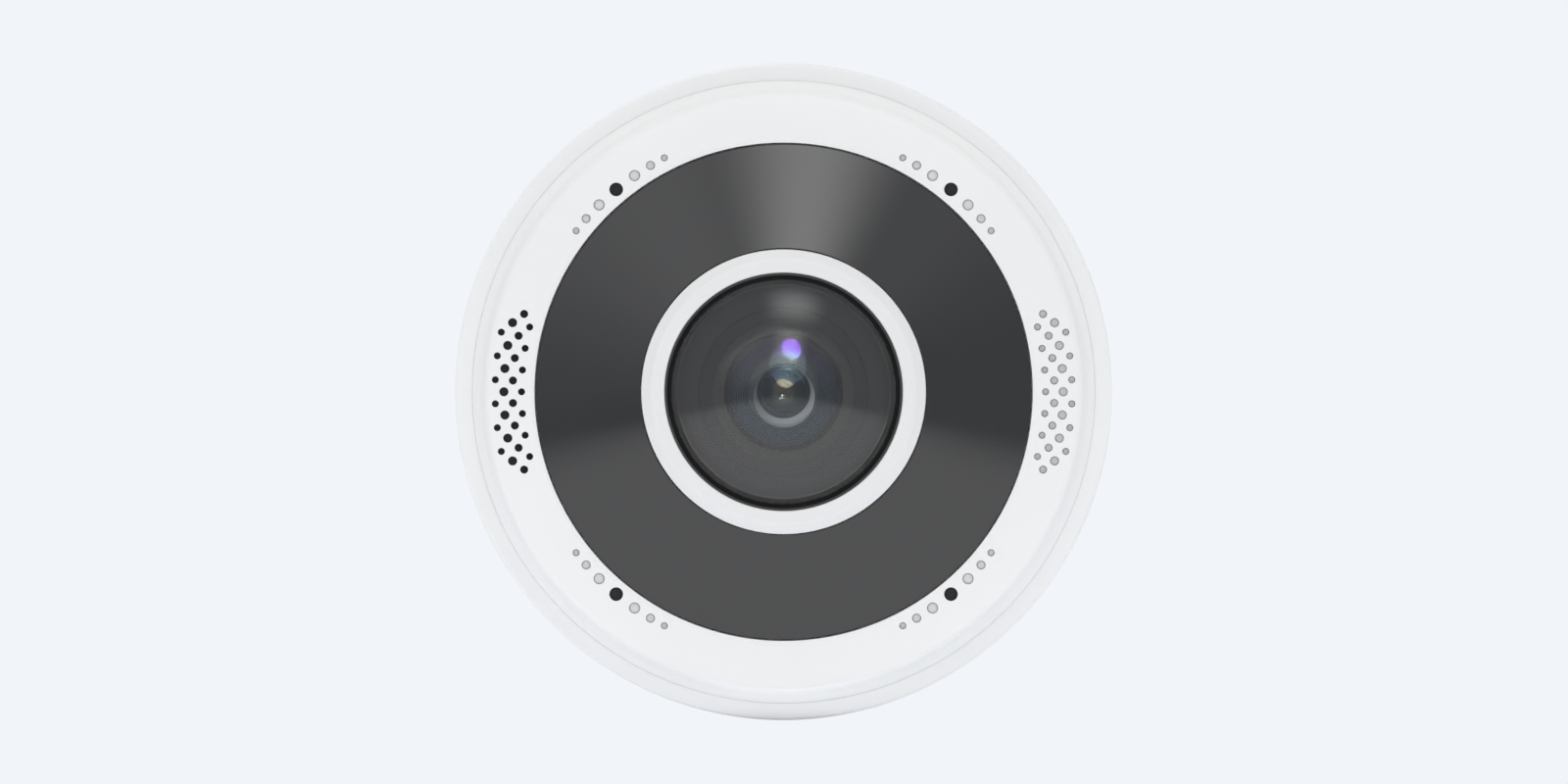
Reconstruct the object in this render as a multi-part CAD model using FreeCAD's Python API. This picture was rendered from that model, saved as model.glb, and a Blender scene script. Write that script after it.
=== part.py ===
import FreeCAD, Part
import math
import os

# A fisheye network camera on its twist-lock wall plate, in millimetres.
# It is built lying on its back, as on a bench: the wall is the plane z = 0 and z points out of the wall.
# For someone who looks at the lens, x points right and y up. hang() turns each piece onto the wall,
# so the finished camera looks along -Y, with +Z up and its origin on the wall at the centre of the plate.

# Clearances
thread_gap = 0.02
running_gap = 0.08
free_gap = 0.2
seam_gap = 0.1

# Mount plate, pressed from steel sheet
sheet = 1.5
skirt_room = 7.2
plate_height = 5.5
cable_opening_radius = 27.0
wall_screw_circle = 96.0
wall_screw_count = 4
wall_screw_first_angle = 45.0
wall_screw_hole_radius = 2.25
box_screw_spacing = 83.3
box_screw_hole_radius = 2.1
screw_cup_radius = 6.0

# Twist lock: shoulder studs on the housing run in keyholes of the plate
stud_inset = 8.0
stud_count = 3
stud_first_angle = 60.0
twist_angle = 15.0
stud_radius = 2.2
stud_head_radius = 4.2
stud_head_height = 1.2
stud_rivet_radius = 3.4
stud_rivet_height = 1.1
lock_gap = 0.3
slot_gap = 0.3
entry_gap = 0.5

# Rear housing, a die casting
housing_radius = 80.0
housing_wall = 2.8
housing_edge_radius = 0.6
wall_shadow_gap = 1.0
floor_wall = 2.5
bay_depth = 4.2
bay_wall = 2.5
ledge_height = 3.0
shoulder_width = 4.1
shoulder_step = 1.0

# Security screw, a set screw that clamps the plate's skirt
security_screw_radius = 1.5
security_screw_socket_radius = 0.8
security_screw_socket_depth = 1.6
security_boss_width = 9.0
security_boss_gap = 1.0
security_tip_gap = 0.1
security_recess = 0.8

# Network socket, reset button and vent in the cable bay
jack_width = 16.0
jack_height = 13.4
jack_depth = 15.0
jack_x = -8.0
socket_width = 12.0
socket_height = 8.6
socket_depth = 13.4
latch_width = 6.4
latch_depth = 1.6
contact_count = 8
contact_pitch = 1.02
contact_width = 0.35
contact_reach = 1.2
jack_seal_width = 2.0
jack_seal_height = 2.0
reset_x = 13.0
reset_y = 8.0
reset_radius = 1.42
reset_travel = 0.4
reset_flange_radius = 2.6
reset_flange_height = 1.0
reset_recess = 0.4
reset_switch_size = 6.0
reset_switch_height = 2.6
vent_x = 13.0
vent_y = -9.0
vent_radius = 2.4
vent_flange_radius = 3.6
vent_flange_height = 0.8
vent_hole_radius = 0.5

# Main board
board_margin = 2.5
board_thickness = 1.6
board_post_inset = 9.0
board_speaker_gap = 1.0
board_post_angles = (60.0, 120.0, 240.0, 300.0)
board_post_radius = 3.5
board_screw_radius = 1.5
board_screw_length = 8.0
screw_head_radius = 2.75
screw_head_height = 2.0
processor_size = 14.0
processor_height = 1.4
processor_x = 30.0
processor_y = 30.0
heat_pad_thickness = 1.0
pedestal_size = 16.0
memory_width = 10.0
memory_length = 12.0
memory_height = 1.2
memory_x = -30.0
memory_y = 22.0
transformer_size = 13.0
transformer_height = 10.0
transformer_x = -32.0
transformer_y = -28.0
capacitor_radius = 4.0
capacitor_height = 11.0
capacitor_count = 3
capacitor_pitch = 10.0
capacitor_y = -44.0
header_width = 3.0
header_length = 8.0

# Front cover, a white moulding
cover_rise = 6.4
cover_foot_height = 1.7
cover_foot_width = 4.3
cover_flare_setback = 2.4
cover_flare_bulge = -0.55
cover_flank_setback = 2.9
cover_flank_height = 2.8
cover_brow_setback = 4.6
cover_brow_height = 1.7
cover_brow_bulge = 0.5
cover_crown_fall = 0.7
cover_crown_bulge = 0.15
cover_band = 15.2
cover_skin = 1.9
window_ledge_width = 3.1
window_ledge_height = 1.5
window_wall = 1.2
cover_screw_count = 6
cover_screw_first_angle = 30.0
cover_screw_radius = 1.5
cover_screw_length = 12.5
cover_screw_grip = 6.0
cover_screw_clearance = 0.2
tower_radius = 4.5
cover_boss_radius = 3.8
well_radius = 3.1
gasket_width = 1.6
gasket_height = 1.2
gasket_inset = 0.9

# Sound ports in the cover
port_margin = 0.42
port_angle = 50.4
port_radius = 1.68
port_dimples = ((5.03, 1.36), (9.15, 1.11), (12.6, 0.86))
dimple_depth = 0.9
grille_half_step = 2.385
grille_margin = 1.96
grille_ring_step = 2.15
grille_rows = ((7, 0.86), (8, 0.99), (7, 1.12), (6, 0.86))
speaker_side = 180.0
dimple_side = 0.0
mesh_thickness = 0.4

# Tinted window and its seals
window_gap = 0.3
window_rise = 6.0
window_thickness = 2.0
window_seal_height = 0.5
window_seal_width = 2.4
cover_lip = 0.2

# Collar, dome and shroud
collar_margin = 1.8
collar_face_width = 3.3
collar_chamfer_width = 2.4
collar_lift = 0.5
collar_chamfer_height = 1.9
collar_lip = 1.7
collar_tube_gap = 1.0
collar_foot_width = 1.5
collar_screw_angles = (30.0, 150.0, 270.0)
collar_screw_radius = 1.0
collar_screw_length = 6.0
dome_radius = 27.2
dome_flange_reach = 1.4
dome_rise = 8.4
dome_thickness = 2.0
dome_seal_height = 0.5
dome_seal_lip = 0.9
dome_seal_lip_width = 0.6
shroud_wall = 1.2
shroud_skin = 1.2
shroud_seat_margin = 1.2
shroud_sink = 0.6
shroud_first_step = 6.5
shroud_second_step = 9.4
shroud_rises = (1.2, 0.8, 0.7)
shroud_step_height = 0.4

# Front frame and infrared light board
frame_rise = 1.0
frame_thickness = 2.5
frame_coil_gap = 1.0
frame_screw_inset = 1.9
frame_screw_angles = (25.0, 90.0, 155.0, 205.0, 270.0, 335.0)
frame_screw_radius = 1.25
frame_screw_length = 5.0
frame_boss_radius = 2.3
frame_boss_height = 2.9
small_head_radius = 2.0
small_head_height = 1.5
ear_radius = 5.5
led_board_gap = 0.8
led_board_margin = 4.0
led_board_width = 12.0
led_count = 6
led_size = 3.5
led_height = 0.8
led_lens_radius = 4.2
led_lens_edge = 1.9
led_lens_rise = 1.6
led_screw_count = 3
led_screw_radius = 1.0
led_screw_depth = 2.0

# Lens
head_radius = 14.4
head_wall = 1.0
head_height = 2.8
head_floor = 1.3
head_rise = 2.4
barrel_radius = 8.95
front_lens_rise = 5.0
front_lens_edge = 1.2
front_lens_bowl_radius = 9.0
front_lens_bowl_depth = 4.4
second_lens_radius = 8.4
second_lens_rise = 3.0
second_lens_edge = 1.0
lens_air_gap = 1.5
second_lens_bowl_radius = 5.2
second_lens_bowl_depth = 2.4
spacer_height = 0.6
third_lens_radius = 5.4
third_lens_edge = 1.2
third_lens_rise = 0.9
rear_lens_radius = 5.0
rear_lens_edge = 1.6
rear_lens_rise = 0.8
stop_radius = 2.4
stop_thickness = 0.5
lock_ring_radius = 12.6
lock_ring_height = 1.6

# Lens holder, sensor and switching filter
standoff_length = 3.4
standoff_radius = 2.5
sensor_board_thickness = 1.2
sensor_board_width = 44.0
sensor_board_height = 34.0
sensor_width = 15.0
sensor_height = 12.0
sensor_thickness = 2.0
sensor_room = 1.0
holder_screw_x = 16.5
holder_screw_y = 12.5
holder_screw_radius = 1.0
holder_screw_grip = 2.2
holder_ear_radius = 3.0
holder_ear_height = 2.0
filter_base_height = 3.0
holder_half_height = 10.0
holder_body_height = 5.4
holder_end_wall = 2.1
neck_radius = 11.5
neck_height = 4.4
filter_thickness = 1.6
filter_half_height = 7.7
filter_glass_size = 9.4
filter_glass_thickness = 0.6
filter_glass_lip = 0.5
filter_rim = 1.6
filter_play = 0.3
lever_length = 10.5
lever_swing = 60.0
lever_pivot_y = -22.0
lever_width = 2.6
lever_thickness = 1.0
rotor_radius = 2.7
rotor_cap_radius = 3.4
rotor_cap_height = 0.6
pin_radius = 0.6
pin_slot_gap = 0.3
tab_width = 4.4
gate_gap = 0.6
coil_width = 13.0
coil_near_y = -15.4
coil_far_y = -26.2
coil_height = 5.0
coil_bridge_height = 2.5
coil_bridge_width = 10.0
connector_length = 16.0
connector_width = 4.0

# Speaker
speaker_inset = 11.1
speaker_radius = 13.5
speaker_wall = 1.0
speaker_height = 8.0
speaker_seat_wall = 2.0
magnet_radius = 7.9
magnet_below = 5.5
magnet_above = 3.0
cone_thickness = 0.5
cone_depth = 1.6
cone_cap_radius = 4.0
cone_cap_rise = 0.9
cone_rim_width = 1.0
cone_lift = 2.2
duct_wall = 0.8
duct_floor = 1.0
duct_base = 2.0
duct_spread = 18.6

# Microphones
mic_board_radius = 4.5
mic_board_thickness = 0.8
mic_width = 3.5
mic_height = 2.65
mic_thickness = 1.0
mic_boot_radius = 3.6
mic_bore_radius = 0.8
mic_mesh_radius = 3.0

# Levels above the wall, from the plate outwards
deck_back = plate_height - sheet
floor_back = plate_height + lock_gap
floor_front = floor_back + floor_wall
bay_back = floor_back + bay_depth
bay_front = bay_back + floor_wall
board_back = bay_back + jack_depth
board_front = board_back + board_thickness
seat_level = board_front + cover_rise
shoulder_level = seat_level + shoulder_step
frame_back = seat_level + frame_rise
frame_front = frame_back + frame_thickness
led_board_front = frame_front + board_thickness
ledge_back = frame_front + frame_boss_height
ledge_front = ledge_back + window_ledge_height
window_edge_back = ledge_front + window_seal_height
window_edge_front = window_edge_back + window_thickness
cover_lip_level = window_edge_front + cover_lip
cover_brow_level = cover_lip_level - cover_crown_fall
cover_flank_level = cover_brow_level - cover_brow_height
cover_under = cover_brow_level - cover_skin
window_top_front = window_edge_front + window_rise
window_top_back = window_top_front - window_thickness
collar_shelf = window_top_back - window_seal_height
collar_edge_level = window_top_front + collar_lift
collar_face_level = collar_edge_level + collar_chamfer_height
collar_under = collar_face_level - collar_lip
dome_seat = collar_under - dome_seal_height
dome_back = dome_seat - dome_thickness
dome_apex = dome_seat + dome_rise
head_front = dome_back + head_rise
head_back = head_front - head_height
sensor_board_back = board_front + standoff_length
sensor_board_front = sensor_board_back + sensor_board_thickness
filter_base_front = sensor_board_front + filter_base_height
filter_back = filter_base_front + filter_play
filter_front = filter_back + filter_thickness
filter_roof = filter_front + filter_play
holder_front = filter_base_front + holder_body_height
neck_front = holder_front + neck_height
barrel_back = filter_roof + 2 * filter_play
duct_back = seat_level - ledge_height - duct_base - free_gap
speaker_back = duct_back - speaker_height
cover_screw_seat = seat_level - cover_screw_grip

# Radii and spans shared by neighbours
housing_inner_radius = housing_radius - housing_wall
plate_radius = housing_inner_radius - skirt_room
stud_circle_radius = plate_radius - stud_inset
seam_radius = housing_radius - shoulder_width
cover_radius = seam_radius - seam_gap / 2
ledge_inner_radius = seam_radius - cover_foot_width
cover_brow_radius = seam_radius - cover_brow_setback
cover_flank_radius = seam_radius - cover_flank_setback
cover_bore_radius = seam_radius - cover_band
window_radius = cover_bore_radius - window_gap
window_wall_radius = cover_bore_radius + window_wall
port_circle_radius = window_wall_radius + port_margin + port_radius
grille_first_ring = window_wall_radius + grille_margin
cover_screw_circle_radius = ledge_inner_radius - cover_boss_radius + free_gap
board_radius = cover_screw_circle_radius - tower_radius - board_margin
board_post_circle_radius = board_radius - board_post_inset
speaker_x = speaker_inset - ledge_inner_radius
collar_inner_radius = dome_radius + collar_margin
dome_flange_radius = collar_inner_radius + dome_flange_reach
collar_tube_inner_radius = dome_flange_radius + collar_tube_gap
collar_face_radius = collar_inner_radius + collar_face_width
collar_radius = collar_face_radius + collar_chamfer_width
collar_foot_radius = collar_radius + collar_foot_width
collar_screw_circle_radius = (collar_tube_inner_radius + collar_foot_radius) / 2
window_inner_radius = collar_radius + free_gap
frame_inner_radius = math.hypot(coil_width / 2, coil_far_y) + frame_coil_gap
frame_radius = window_wall_radius - free_gap
frame_screw_circle_radius = window_wall_radius - frame_screw_inset
led_room_inner_radius = collar_foot_radius + led_board_gap
led_room_radius = frame_screw_circle_radius - led_board_margin
led_circle_radius = (led_room_inner_radius + led_room_radius) / 2
led_board_inner_radius = led_circle_radius - led_board_width / 2
led_board_radius = led_circle_radius + led_board_width / 2
filter_travel = 2 * lever_length * math.sin(math.radians(lever_swing / 2))
filter_start_x = -filter_travel / 2
filter_half_width = filter_travel / 2 + filter_glass_size / 2 + seam_gap / 2 + filter_rim
filter_room = filter_travel / 2 + filter_half_width + filter_play
holder_half_width = filter_room + holder_end_wall
front_lens_radius = head_radius - head_wall - seam_gap
front_lens_back = head_front - head_height + head_floor
second_lens_back = front_lens_back - second_lens_edge - lens_air_gap
spacer_back = second_lens_back - spacer_height
port_angles = (port_angle, 180 - port_angle, 180 + port_angle, -port_angle)

# Allowance for cuts that must run past a face, angles, and a screw socket's share of its head
beyond = 5.0
full_turn = 360.0
quarter_turn = 90.0
bottom_side = -90.0
socket_share = 0.5
axis = FreeCAD.Vector(0, 0, 1)
centre = FreeCAD.Vector(0, 0, 0)


# Shapes that the pieces share

def point(r, z):
    return FreeCAD.Vector(r, 0, z)


def polar(radius, degrees):
    a = math.radians(degrees)
    return radius * math.cos(a), radius * math.sin(a)


def disc(radius, low, high, x=0.0, y=0.0):
    return Part.makeCylinder(radius, high - low, FreeCAD.Vector(x, y, low))


def ring(inner, outer, low, high, x=0.0, y=0.0):
    return disc(outer, low, high, x, y).cut(disc(inner, low - beyond, high + beyond, x, y))


def block(width, height, low, high, x=0.0, y=0.0):
    corner = FreeCAD.Vector(x - width / 2, y - height / 2, low)
    return Part.makeBox(width, height, high - low, corner)


def outline(start, *steps):
    """A closed section in r and z. A step is the next point, or a pair: an arc's middle and its end."""
    edges = []
    here = start
    for step in steps + (start,):
        if isinstance(step[0], tuple):
            middle, end = step
            edges.append(Part.Arc(point(*here), point(*middle), point(*end)).toShape())
        else:
            end = step
            edges.append(Part.makeLine(point(*here), point(*end)))
        here = end
    return Part.Face(Part.Wire(edges))


def turned(start, *steps, angle=full_turn):
    return outline(start, *steps).revolve(centre, axis, angle)


def sector(inner, outer, low, high, middle_angle, spread):
    solid = turned((inner, low), (outer, low), (outer, high), (inner, high), angle=2 * spread)
    solid.rotate(centre, axis, middle_angle - spread)
    return solid


def sphere_radius(base_radius, rise):
    return (base_radius ** 2 + rise ** 2) / (2 * rise)


def drop(radius, r):
    """How far a sphere's surface falls from its top, at the distance r from the axis."""
    return radius - math.sqrt(radius ** 2 - r ** 2)


def bulged(start, end, bulge):
    """Middle and end of an arc that rises from its chord, to the left of the way from start to end."""
    run, climb = end[0] - start[0], end[1] - start[1]
    share = bulge / math.hypot(run, climb)
    middle = ((start[0] + end[0]) / 2 - climb * share, (start[1] + end[1]) / 2 + run * share)
    return middle, end


def cap_arc(apex, radius, r_from, r_to):
    """Middle and end of the arc along a sphere's top, from one distance to another."""
    middle = (r_from + r_to) / 2
    return (middle, apex - drop(radius, middle)), (r_to, apex - drop(radius, r_to))


def round_pattern(shape, angles):
    copies = []
    for angle in angles:
        copy = shape.copy()
        copy.rotate(centre, axis, angle)
        copies.append(copy)
    return copies


def at_bottom(shape):
    return round_pattern(shape, [bottom_side])[0]


def even_angles(count, first):
    return [first + full_turn * i / count for i in range(count)]


def bored(shape, radius, low, high, radius_of_circle, angles):
    for angle in angles:
        x, y = polar(radius_of_circle, angle)
        shape = shape.cut(disc(radius, low, high, x, y))
    return shape


def screw(head, head_height, shank, seat, tip, x, y):
    """A pan-head screw. seat is the level under its head, tip the end of its shank."""
    out = 1 if seat > tip else -1
    top = seat + out * head_height
    solid = disc(head, min(seat, top), max(seat, top), x, y)
    solid = solid.fuse(disc(shank, min(seat, tip), max(seat, tip), x, y)).removeSplitter()
    deep = top - out * socket_share * head_height
    return solid.cut(disc(head * socket_share, min(deep, top), max(deep, top), x, y))


# Mount plate and twist lock

def mount_plate():
    plate = disc(plate_radius, 0, plate_height).cut(disc(plate_radius - sheet, -beyond, deck_back))
    box_places = [(0, box_screw_spacing / 2), (0, -box_screw_spacing / 2)]
    wall_angles = even_angles(wall_screw_count, wall_screw_first_angle)
    wall_places = [polar(wall_screw_circle / 2, angle) for angle in wall_angles]
    for x, y in box_places + wall_places:
        plate = plate.fuse(disc(screw_cup_radius + sheet, 0, plate_height, x, y))
        plate = plate.cut(disc(screw_cup_radius, sheet, plate_height + beyond, x, y))
    for x, y in box_places:
        plate = plate.cut(disc(box_screw_hole_radius, -beyond, plate_height, x, y))
    for x, y in wall_places:
        plate = plate.cut(disc(wall_screw_hole_radius, -beyond, plate_height, x, y))
    plate = plate.cut(disc(cable_opening_radius, -beyond, plate_height + beyond))
    return plate.cut(Part.makeCompound(keyholes()))


def keyholes():
    half = stud_radius + slot_gap
    inner, outer = stud_circle_radius - half, stud_circle_radius + half
    cuts = []
    for angle in even_angles(stud_count, stud_first_angle):
        low, high = deck_back - seam_gap, plate_height + beyond
        middle = angle + twist_angle / 2
        slot = sector(inner, outer, low, high, middle, twist_angle / 2)
        slot = slot.fuse(disc(half, low, high, *polar(stud_circle_radius, angle)))
        entry = disc(stud_head_radius + entry_gap, low, high, *polar(stud_circle_radius, angle + twist_angle))
        cuts.append(slot.fuse(entry))
    return cuts


def twist_lock_studs():
    neck = deck_back - lock_gap
    rivet_top = floor_front + stud_rivet_height
    stud = disc(stud_head_radius, neck - stud_head_height, neck, stud_circle_radius)
    stud = stud.fuse(disc(stud_radius, neck, floor_front, stud_circle_radius))
    stud = stud.fuse(disc(stud_rivet_radius, floor_front, rivet_top, stud_circle_radius))
    return round_pattern(stud.removeSplitter(), even_angles(stud_count, stud_first_angle))


def security_screw():
    inner = plate_radius + security_tip_gap
    length = housing_radius - security_recess - inner
    level = security_level()
    body = Part.makeCylinder(security_screw_radius, length, point(inner, level), FreeCAD.Vector(1, 0, 0))
    socket_start = inner + length - security_screw_socket_depth
    socket = Part.makeCylinder(security_screw_socket_radius, beyond, point(socket_start, level),
                               FreeCAD.Vector(1, 0, 0))
    return at_bottom(body.cut(socket))


def security_level():
    return (wall_shadow_gap + floor_back) / 2


# Rear housing and what it carries in its floor

def rear_housing():
    edge = housing_edge_radius
    bulge = edge * (1 - math.cos(math.radians(quarter_turn / 2)))
    shell = turned(
        (housing_inner_radius, wall_shadow_gap),
        (housing_radius - edge, wall_shadow_gap),
        ((housing_radius - bulge, wall_shadow_gap + bulge), (housing_radius, wall_shadow_gap + edge)),
        (housing_radius, shoulder_level - edge),
        ((housing_radius - bulge, shoulder_level - bulge), (housing_radius - edge, shoulder_level)),
        (seam_radius, shoulder_level),
        (seam_radius, seat_level),
        (ledge_inner_radius, seat_level),
        (ledge_inner_radius, seat_level - ledge_height),
        (housing_inner_radius, seat_level - ledge_height))
    floor = ring(cable_opening_radius, housing_radius - housing_wall / 2, floor_back, floor_front)
    bay = disc(cable_opening_radius + bay_wall, floor_back, bay_front)
    bay = bay.cut(disc(cable_opening_radius, floor_back - beyond, bay_back))
    boss_length = housing_inner_radius - plate_radius
    boss = block(boss_length, security_boss_width, wall_shadow_gap, floor_back + seam_gap,
                 plate_radius + security_boss_gap + boss_length / 2)
    shell = shell.fuse([floor, bay, at_bottom(boss)] + housing_posts()).removeSplitter()
    return cut_housing(shell)


def housing_posts():
    posts = []
    for angle in board_post_angles:
        posts.append(disc(board_post_radius, floor_back, board_back, *polar(board_post_circle_radius, angle)))
    for angle in even_angles(cover_screw_count, cover_screw_first_angle):
        posts.append(disc(tower_radius, floor_back, seat_level, *polar(cover_screw_circle_radius, angle)))
    pedestal_top = board_back - processor_height - heat_pad_thickness
    posts.append(block(pedestal_size, pedestal_size, floor_back, pedestal_top, processor_x, processor_y))
    posts.append(ring(speaker_radius - speaker_seat_wall, speaker_radius, floor_back, speaker_back,
                      speaker_x))
    return posts


def cut_housing(shell):
    hole = cover_screw_radius + cover_screw_clearance
    for angle in even_angles(cover_screw_count, cover_screw_first_angle):
        x, y = polar(cover_screw_circle_radius, angle)
        shell = shell.cut(disc(well_radius, floor_back - beyond, cover_screw_seat, x, y))
        shell = shell.cut(disc(hole, floor_back, seat_level + beyond, x, y))
    groove_inner = ledge_inner_radius + gasket_inset
    shell = shell.cut(ring(groove_inner, groove_inner + gasket_width, seat_level - gasket_height,
                           seat_level + seam_gap))
    shell = bored(shell, board_screw_radius + thread_gap, board_back - board_screw_length,
                  board_back + beyond, board_post_circle_radius, board_post_angles)
    shell = bored(shell, stud_radius + thread_gap, floor_back - beyond, floor_front + beyond,
                  stud_circle_radius, even_angles(stud_count, stud_first_angle))
    shell = shell.cut(block(jack_width + 2 * seam_gap, jack_height + 2 * seam_gap, bay_back - beyond,
                            bay_front + beyond, jack_x))
    shell = shell.cut(disc(reset_radius + running_gap, bay_back - beyond, bay_front + beyond,
                           reset_x, reset_y))
    shell = shell.cut(disc(vent_radius + thread_gap, bay_back - beyond, bay_front + beyond, vent_x, vent_y))
    bore = Part.makeCylinder(security_screw_radius + running_gap, housing_radius,
                             point(plate_radius, security_level()), FreeCAD.Vector(1, 0, 0))
    return shell.cut(at_bottom(bore))


def housing_gasket():
    inner = ledge_inner_radius + gasket_inset
    return ring(inner + thread_gap, inner + gasket_width - thread_gap, seat_level - gasket_height, seat_level)


def ethernet_jack():
    jack = block(jack_width, jack_height, bay_back, board_back, jack_x)
    roof = bay_back + socket_depth
    low_side = -socket_height / 2
    jack = jack.cut(block(socket_width, socket_height, bay_back - beyond, roof, jack_x))
    return jack.cut(block(latch_width, latch_depth, bay_back - beyond, roof, jack_x,
                          low_side - latch_depth / 2))


def jack_contacts():
    roof = bay_back + socket_depth
    wall = socket_height / 2
    inside = wall - contact_reach
    points = [(wall - 2 * contact_width, roof), (inside, roof - contact_reach),
              (wall - contact_width, bay_back + contact_reach), (wall, bay_back + contact_reach),
              (inside + contact_width, roof - contact_reach), (wall - contact_width, roof)]
    contacts = []
    for i in range(contact_count):
        x = jack_x + (i - (contact_count - 1) / 2) * contact_pitch - contact_width / 2
        corners = [FreeCAD.Vector(x, y, z) for y, z in points]
        face = Part.Face(Part.makePolygon(corners + corners[:1]))
        contacts.append(face.extrude(FreeCAD.Vector(contact_width, 0, 0)))
    return contacts


def jack_seal():
    outer_width = jack_width + 2 * seam_gap + 2 * jack_seal_width
    outer_height = jack_height + 2 * seam_gap + 2 * jack_seal_width
    seal = block(outer_width, outer_height, bay_front, bay_front + jack_seal_height, jack_x)
    return seal.cut(block(jack_width + 2 * thread_gap, jack_height + 2 * thread_gap, bay_front - beyond,
                          bay_front + jack_seal_height + beyond, jack_x))


def reset_button():
    switch_face = board_back - reset_switch_height
    tip = switch_face - reset_travel - seam_gap / 2
    flange_back = bay_front + free_gap
    button = disc(reset_radius, bay_back - reset_recess, tip, reset_x, reset_y)
    flange = disc(reset_flange_radius, flange_back, flange_back + reset_flange_height, reset_x, reset_y)
    return button.fuse(flange).removeSplitter()


def reset_switch():
    return block(reset_switch_size, reset_switch_size, board_back - reset_switch_height, board_back,
                 reset_x, reset_y)


def vent_plug():
    plug = disc(vent_radius, bay_back, bay_front + vent_flange_height, vent_x, vent_y)
    plug = plug.fuse(disc(vent_flange_radius, bay_back - vent_flange_height, bay_back, vent_x, vent_y))
    hole = disc(vent_hole_radius, bay_back - beyond, bay_front, vent_x, vent_y)
    return plug.removeSplitter().cut(hole)


# Main board and its parts

def main_board():
    board = disc(board_radius, board_back, board_front)
    board = board.cut(disc(speaker_radius + board_speaker_gap, board_back - beyond, board_front + beyond,
                           speaker_x))
    return bored(board, board_screw_radius + free_gap, board_back - beyond, board_front + beyond,
                 board_post_circle_radius, board_post_angles)


def board_screws():
    tip = board_front - board_screw_length
    return [screw(screw_head_radius, screw_head_height, board_screw_radius, board_front, tip,
                  *polar(board_post_circle_radius, angle)) for angle in board_post_angles]


def processor():
    return block(processor_size, processor_size, board_back - processor_height, board_back,
                 processor_x, processor_y)


def heat_pad():
    top = board_back - processor_height
    return block(processor_size, processor_size, top - heat_pad_thickness, top, processor_x, processor_y)


def memory_chips():
    top = board_front + memory_height
    return [block(memory_width, memory_length, board_front, top, memory_x, side * memory_y)
            for side in (-1, 1)]


def poe_transformer():
    return block(transformer_size, transformer_size, board_back - transformer_height, board_back,
                 transformer_x, transformer_y)


def power_capacitors():
    middle = (capacitor_count - 1) / 2
    return [disc(capacitor_radius, board_back - capacitor_height, board_back, (i - middle) * capacitor_pitch,
                 capacitor_y) for i in range(capacitor_count)]


def led_header():
    return block(header_width, header_length, board_front, frame_front, led_circle_radius)


# Front cover with its window and sound ports

def front_cover():
    lip = (cover_bore_radius + free_gap, cover_lip_level)
    brow = (cover_brow_radius, cover_brow_level)
    flank = (cover_flank_radius, cover_flank_level)
    flare = (seam_radius - cover_flare_setback, cover_flank_level - cover_flank_height)
    foot = (cover_radius, seat_level + cover_foot_height)
    cover = turned(
        (cover_bore_radius, ledge_front),
        (cover_bore_radius, cover_lip_level - free_gap),
        lip,
        bulged(lip, brow, cover_crown_bulge),
        bulged(brow, flank, cover_brow_bulge),
        flare,
        bulged(flare, foot, cover_flare_bulge),
        (cover_radius, seat_level),
        (ledge_inner_radius, seat_level),
        (ledge_inner_radius, cover_under),
        (window_wall_radius, cover_under),
        (window_wall_radius, ledge_back),
        (window_radius - window_ledge_width, ledge_back),
        (window_radius - window_ledge_width, ledge_front))
    cover_places = [polar(cover_screw_circle_radius, angle)
                    for angle in even_angles(cover_screw_count, cover_screw_first_angle)]
    frame_places = [polar(frame_screw_circle_radius, angle) for angle in frame_screw_angles]
    bosses = [disc(cover_boss_radius, seat_level, cover_under + seam_gap, x, y) for x, y in cover_places]
    bosses += [disc(frame_boss_radius, frame_front, ledge_back + seam_gap, x, y) for x, y in frame_places]
    cover = cover.fuse(bosses).removeSplitter()
    cover_tip = cover_screw_seat + cover_screw_length + seam_gap
    cover = bored(cover, cover_screw_radius + thread_gap, seat_level - beyond, cover_tip,
                  cover_screw_circle_radius, even_angles(cover_screw_count, cover_screw_first_angle))
    frame_tip = frame_back + frame_screw_length + seam_gap
    cover = bored(cover, frame_screw_radius + thread_gap, frame_front - beyond, frame_tip,
                  frame_screw_circle_radius, frame_screw_angles)
    return cover.cut(Part.makeCompound(sound_holes()))


def cover_height(r):
    """The cover's outer level over the ports, close enough for a dimple's floor."""
    share = (r - cover_bore_radius) / (cover_brow_radius - cover_bore_radius)
    return cover_lip_level + share * (cover_brow_level - cover_lip_level)


def sound_hole(hole_radius, circle_radius, angle, through):
    bottom = cover_under - beyond if through else cover_height(circle_radius) - dimple_depth
    return disc(hole_radius, bottom, cover_lip_level + beyond, *polar(circle_radius, angle))


def sound_holes():
    holes = []
    for side in (speaker_side, dimple_side):
        for row, (count, hole_radius) in enumerate(grille_rows):
            circle = grille_first_ring + row * grille_ring_step
            for i in range(count):
                angle = side + (2 * i - (count - 1)) * grille_half_step
                holes.append(sound_hole(hole_radius, circle, angle, side == speaker_side))
    for angle in port_angles:
        holes.append(sound_hole(port_radius, port_circle_radius, angle, True))
        for offset, hole_radius in port_dimples:
            holes.append(sound_hole(hole_radius, port_circle_radius, angle + offset, False))
            holes.append(sound_hole(hole_radius, port_circle_radius, angle - offset, False))
    return holes


def cover_screws():
    tip = cover_screw_seat + cover_screw_length
    return [screw(screw_head_radius, screw_head_height, cover_screw_radius, cover_screw_seat, tip,
                  *polar(cover_screw_circle_radius, angle))
            for angle in even_angles(cover_screw_count, cover_screw_first_angle)]


def window_level(r, face_level):
    share = (r - window_inner_radius) / (window_radius - window_inner_radius)
    return face_level - share * window_rise


def ir_window():
    return turned(
        (window_inner_radius, window_top_back),
        (window_radius, window_edge_back),
        (window_radius, window_edge_front),
        (window_inner_radius, window_top_front))


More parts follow.
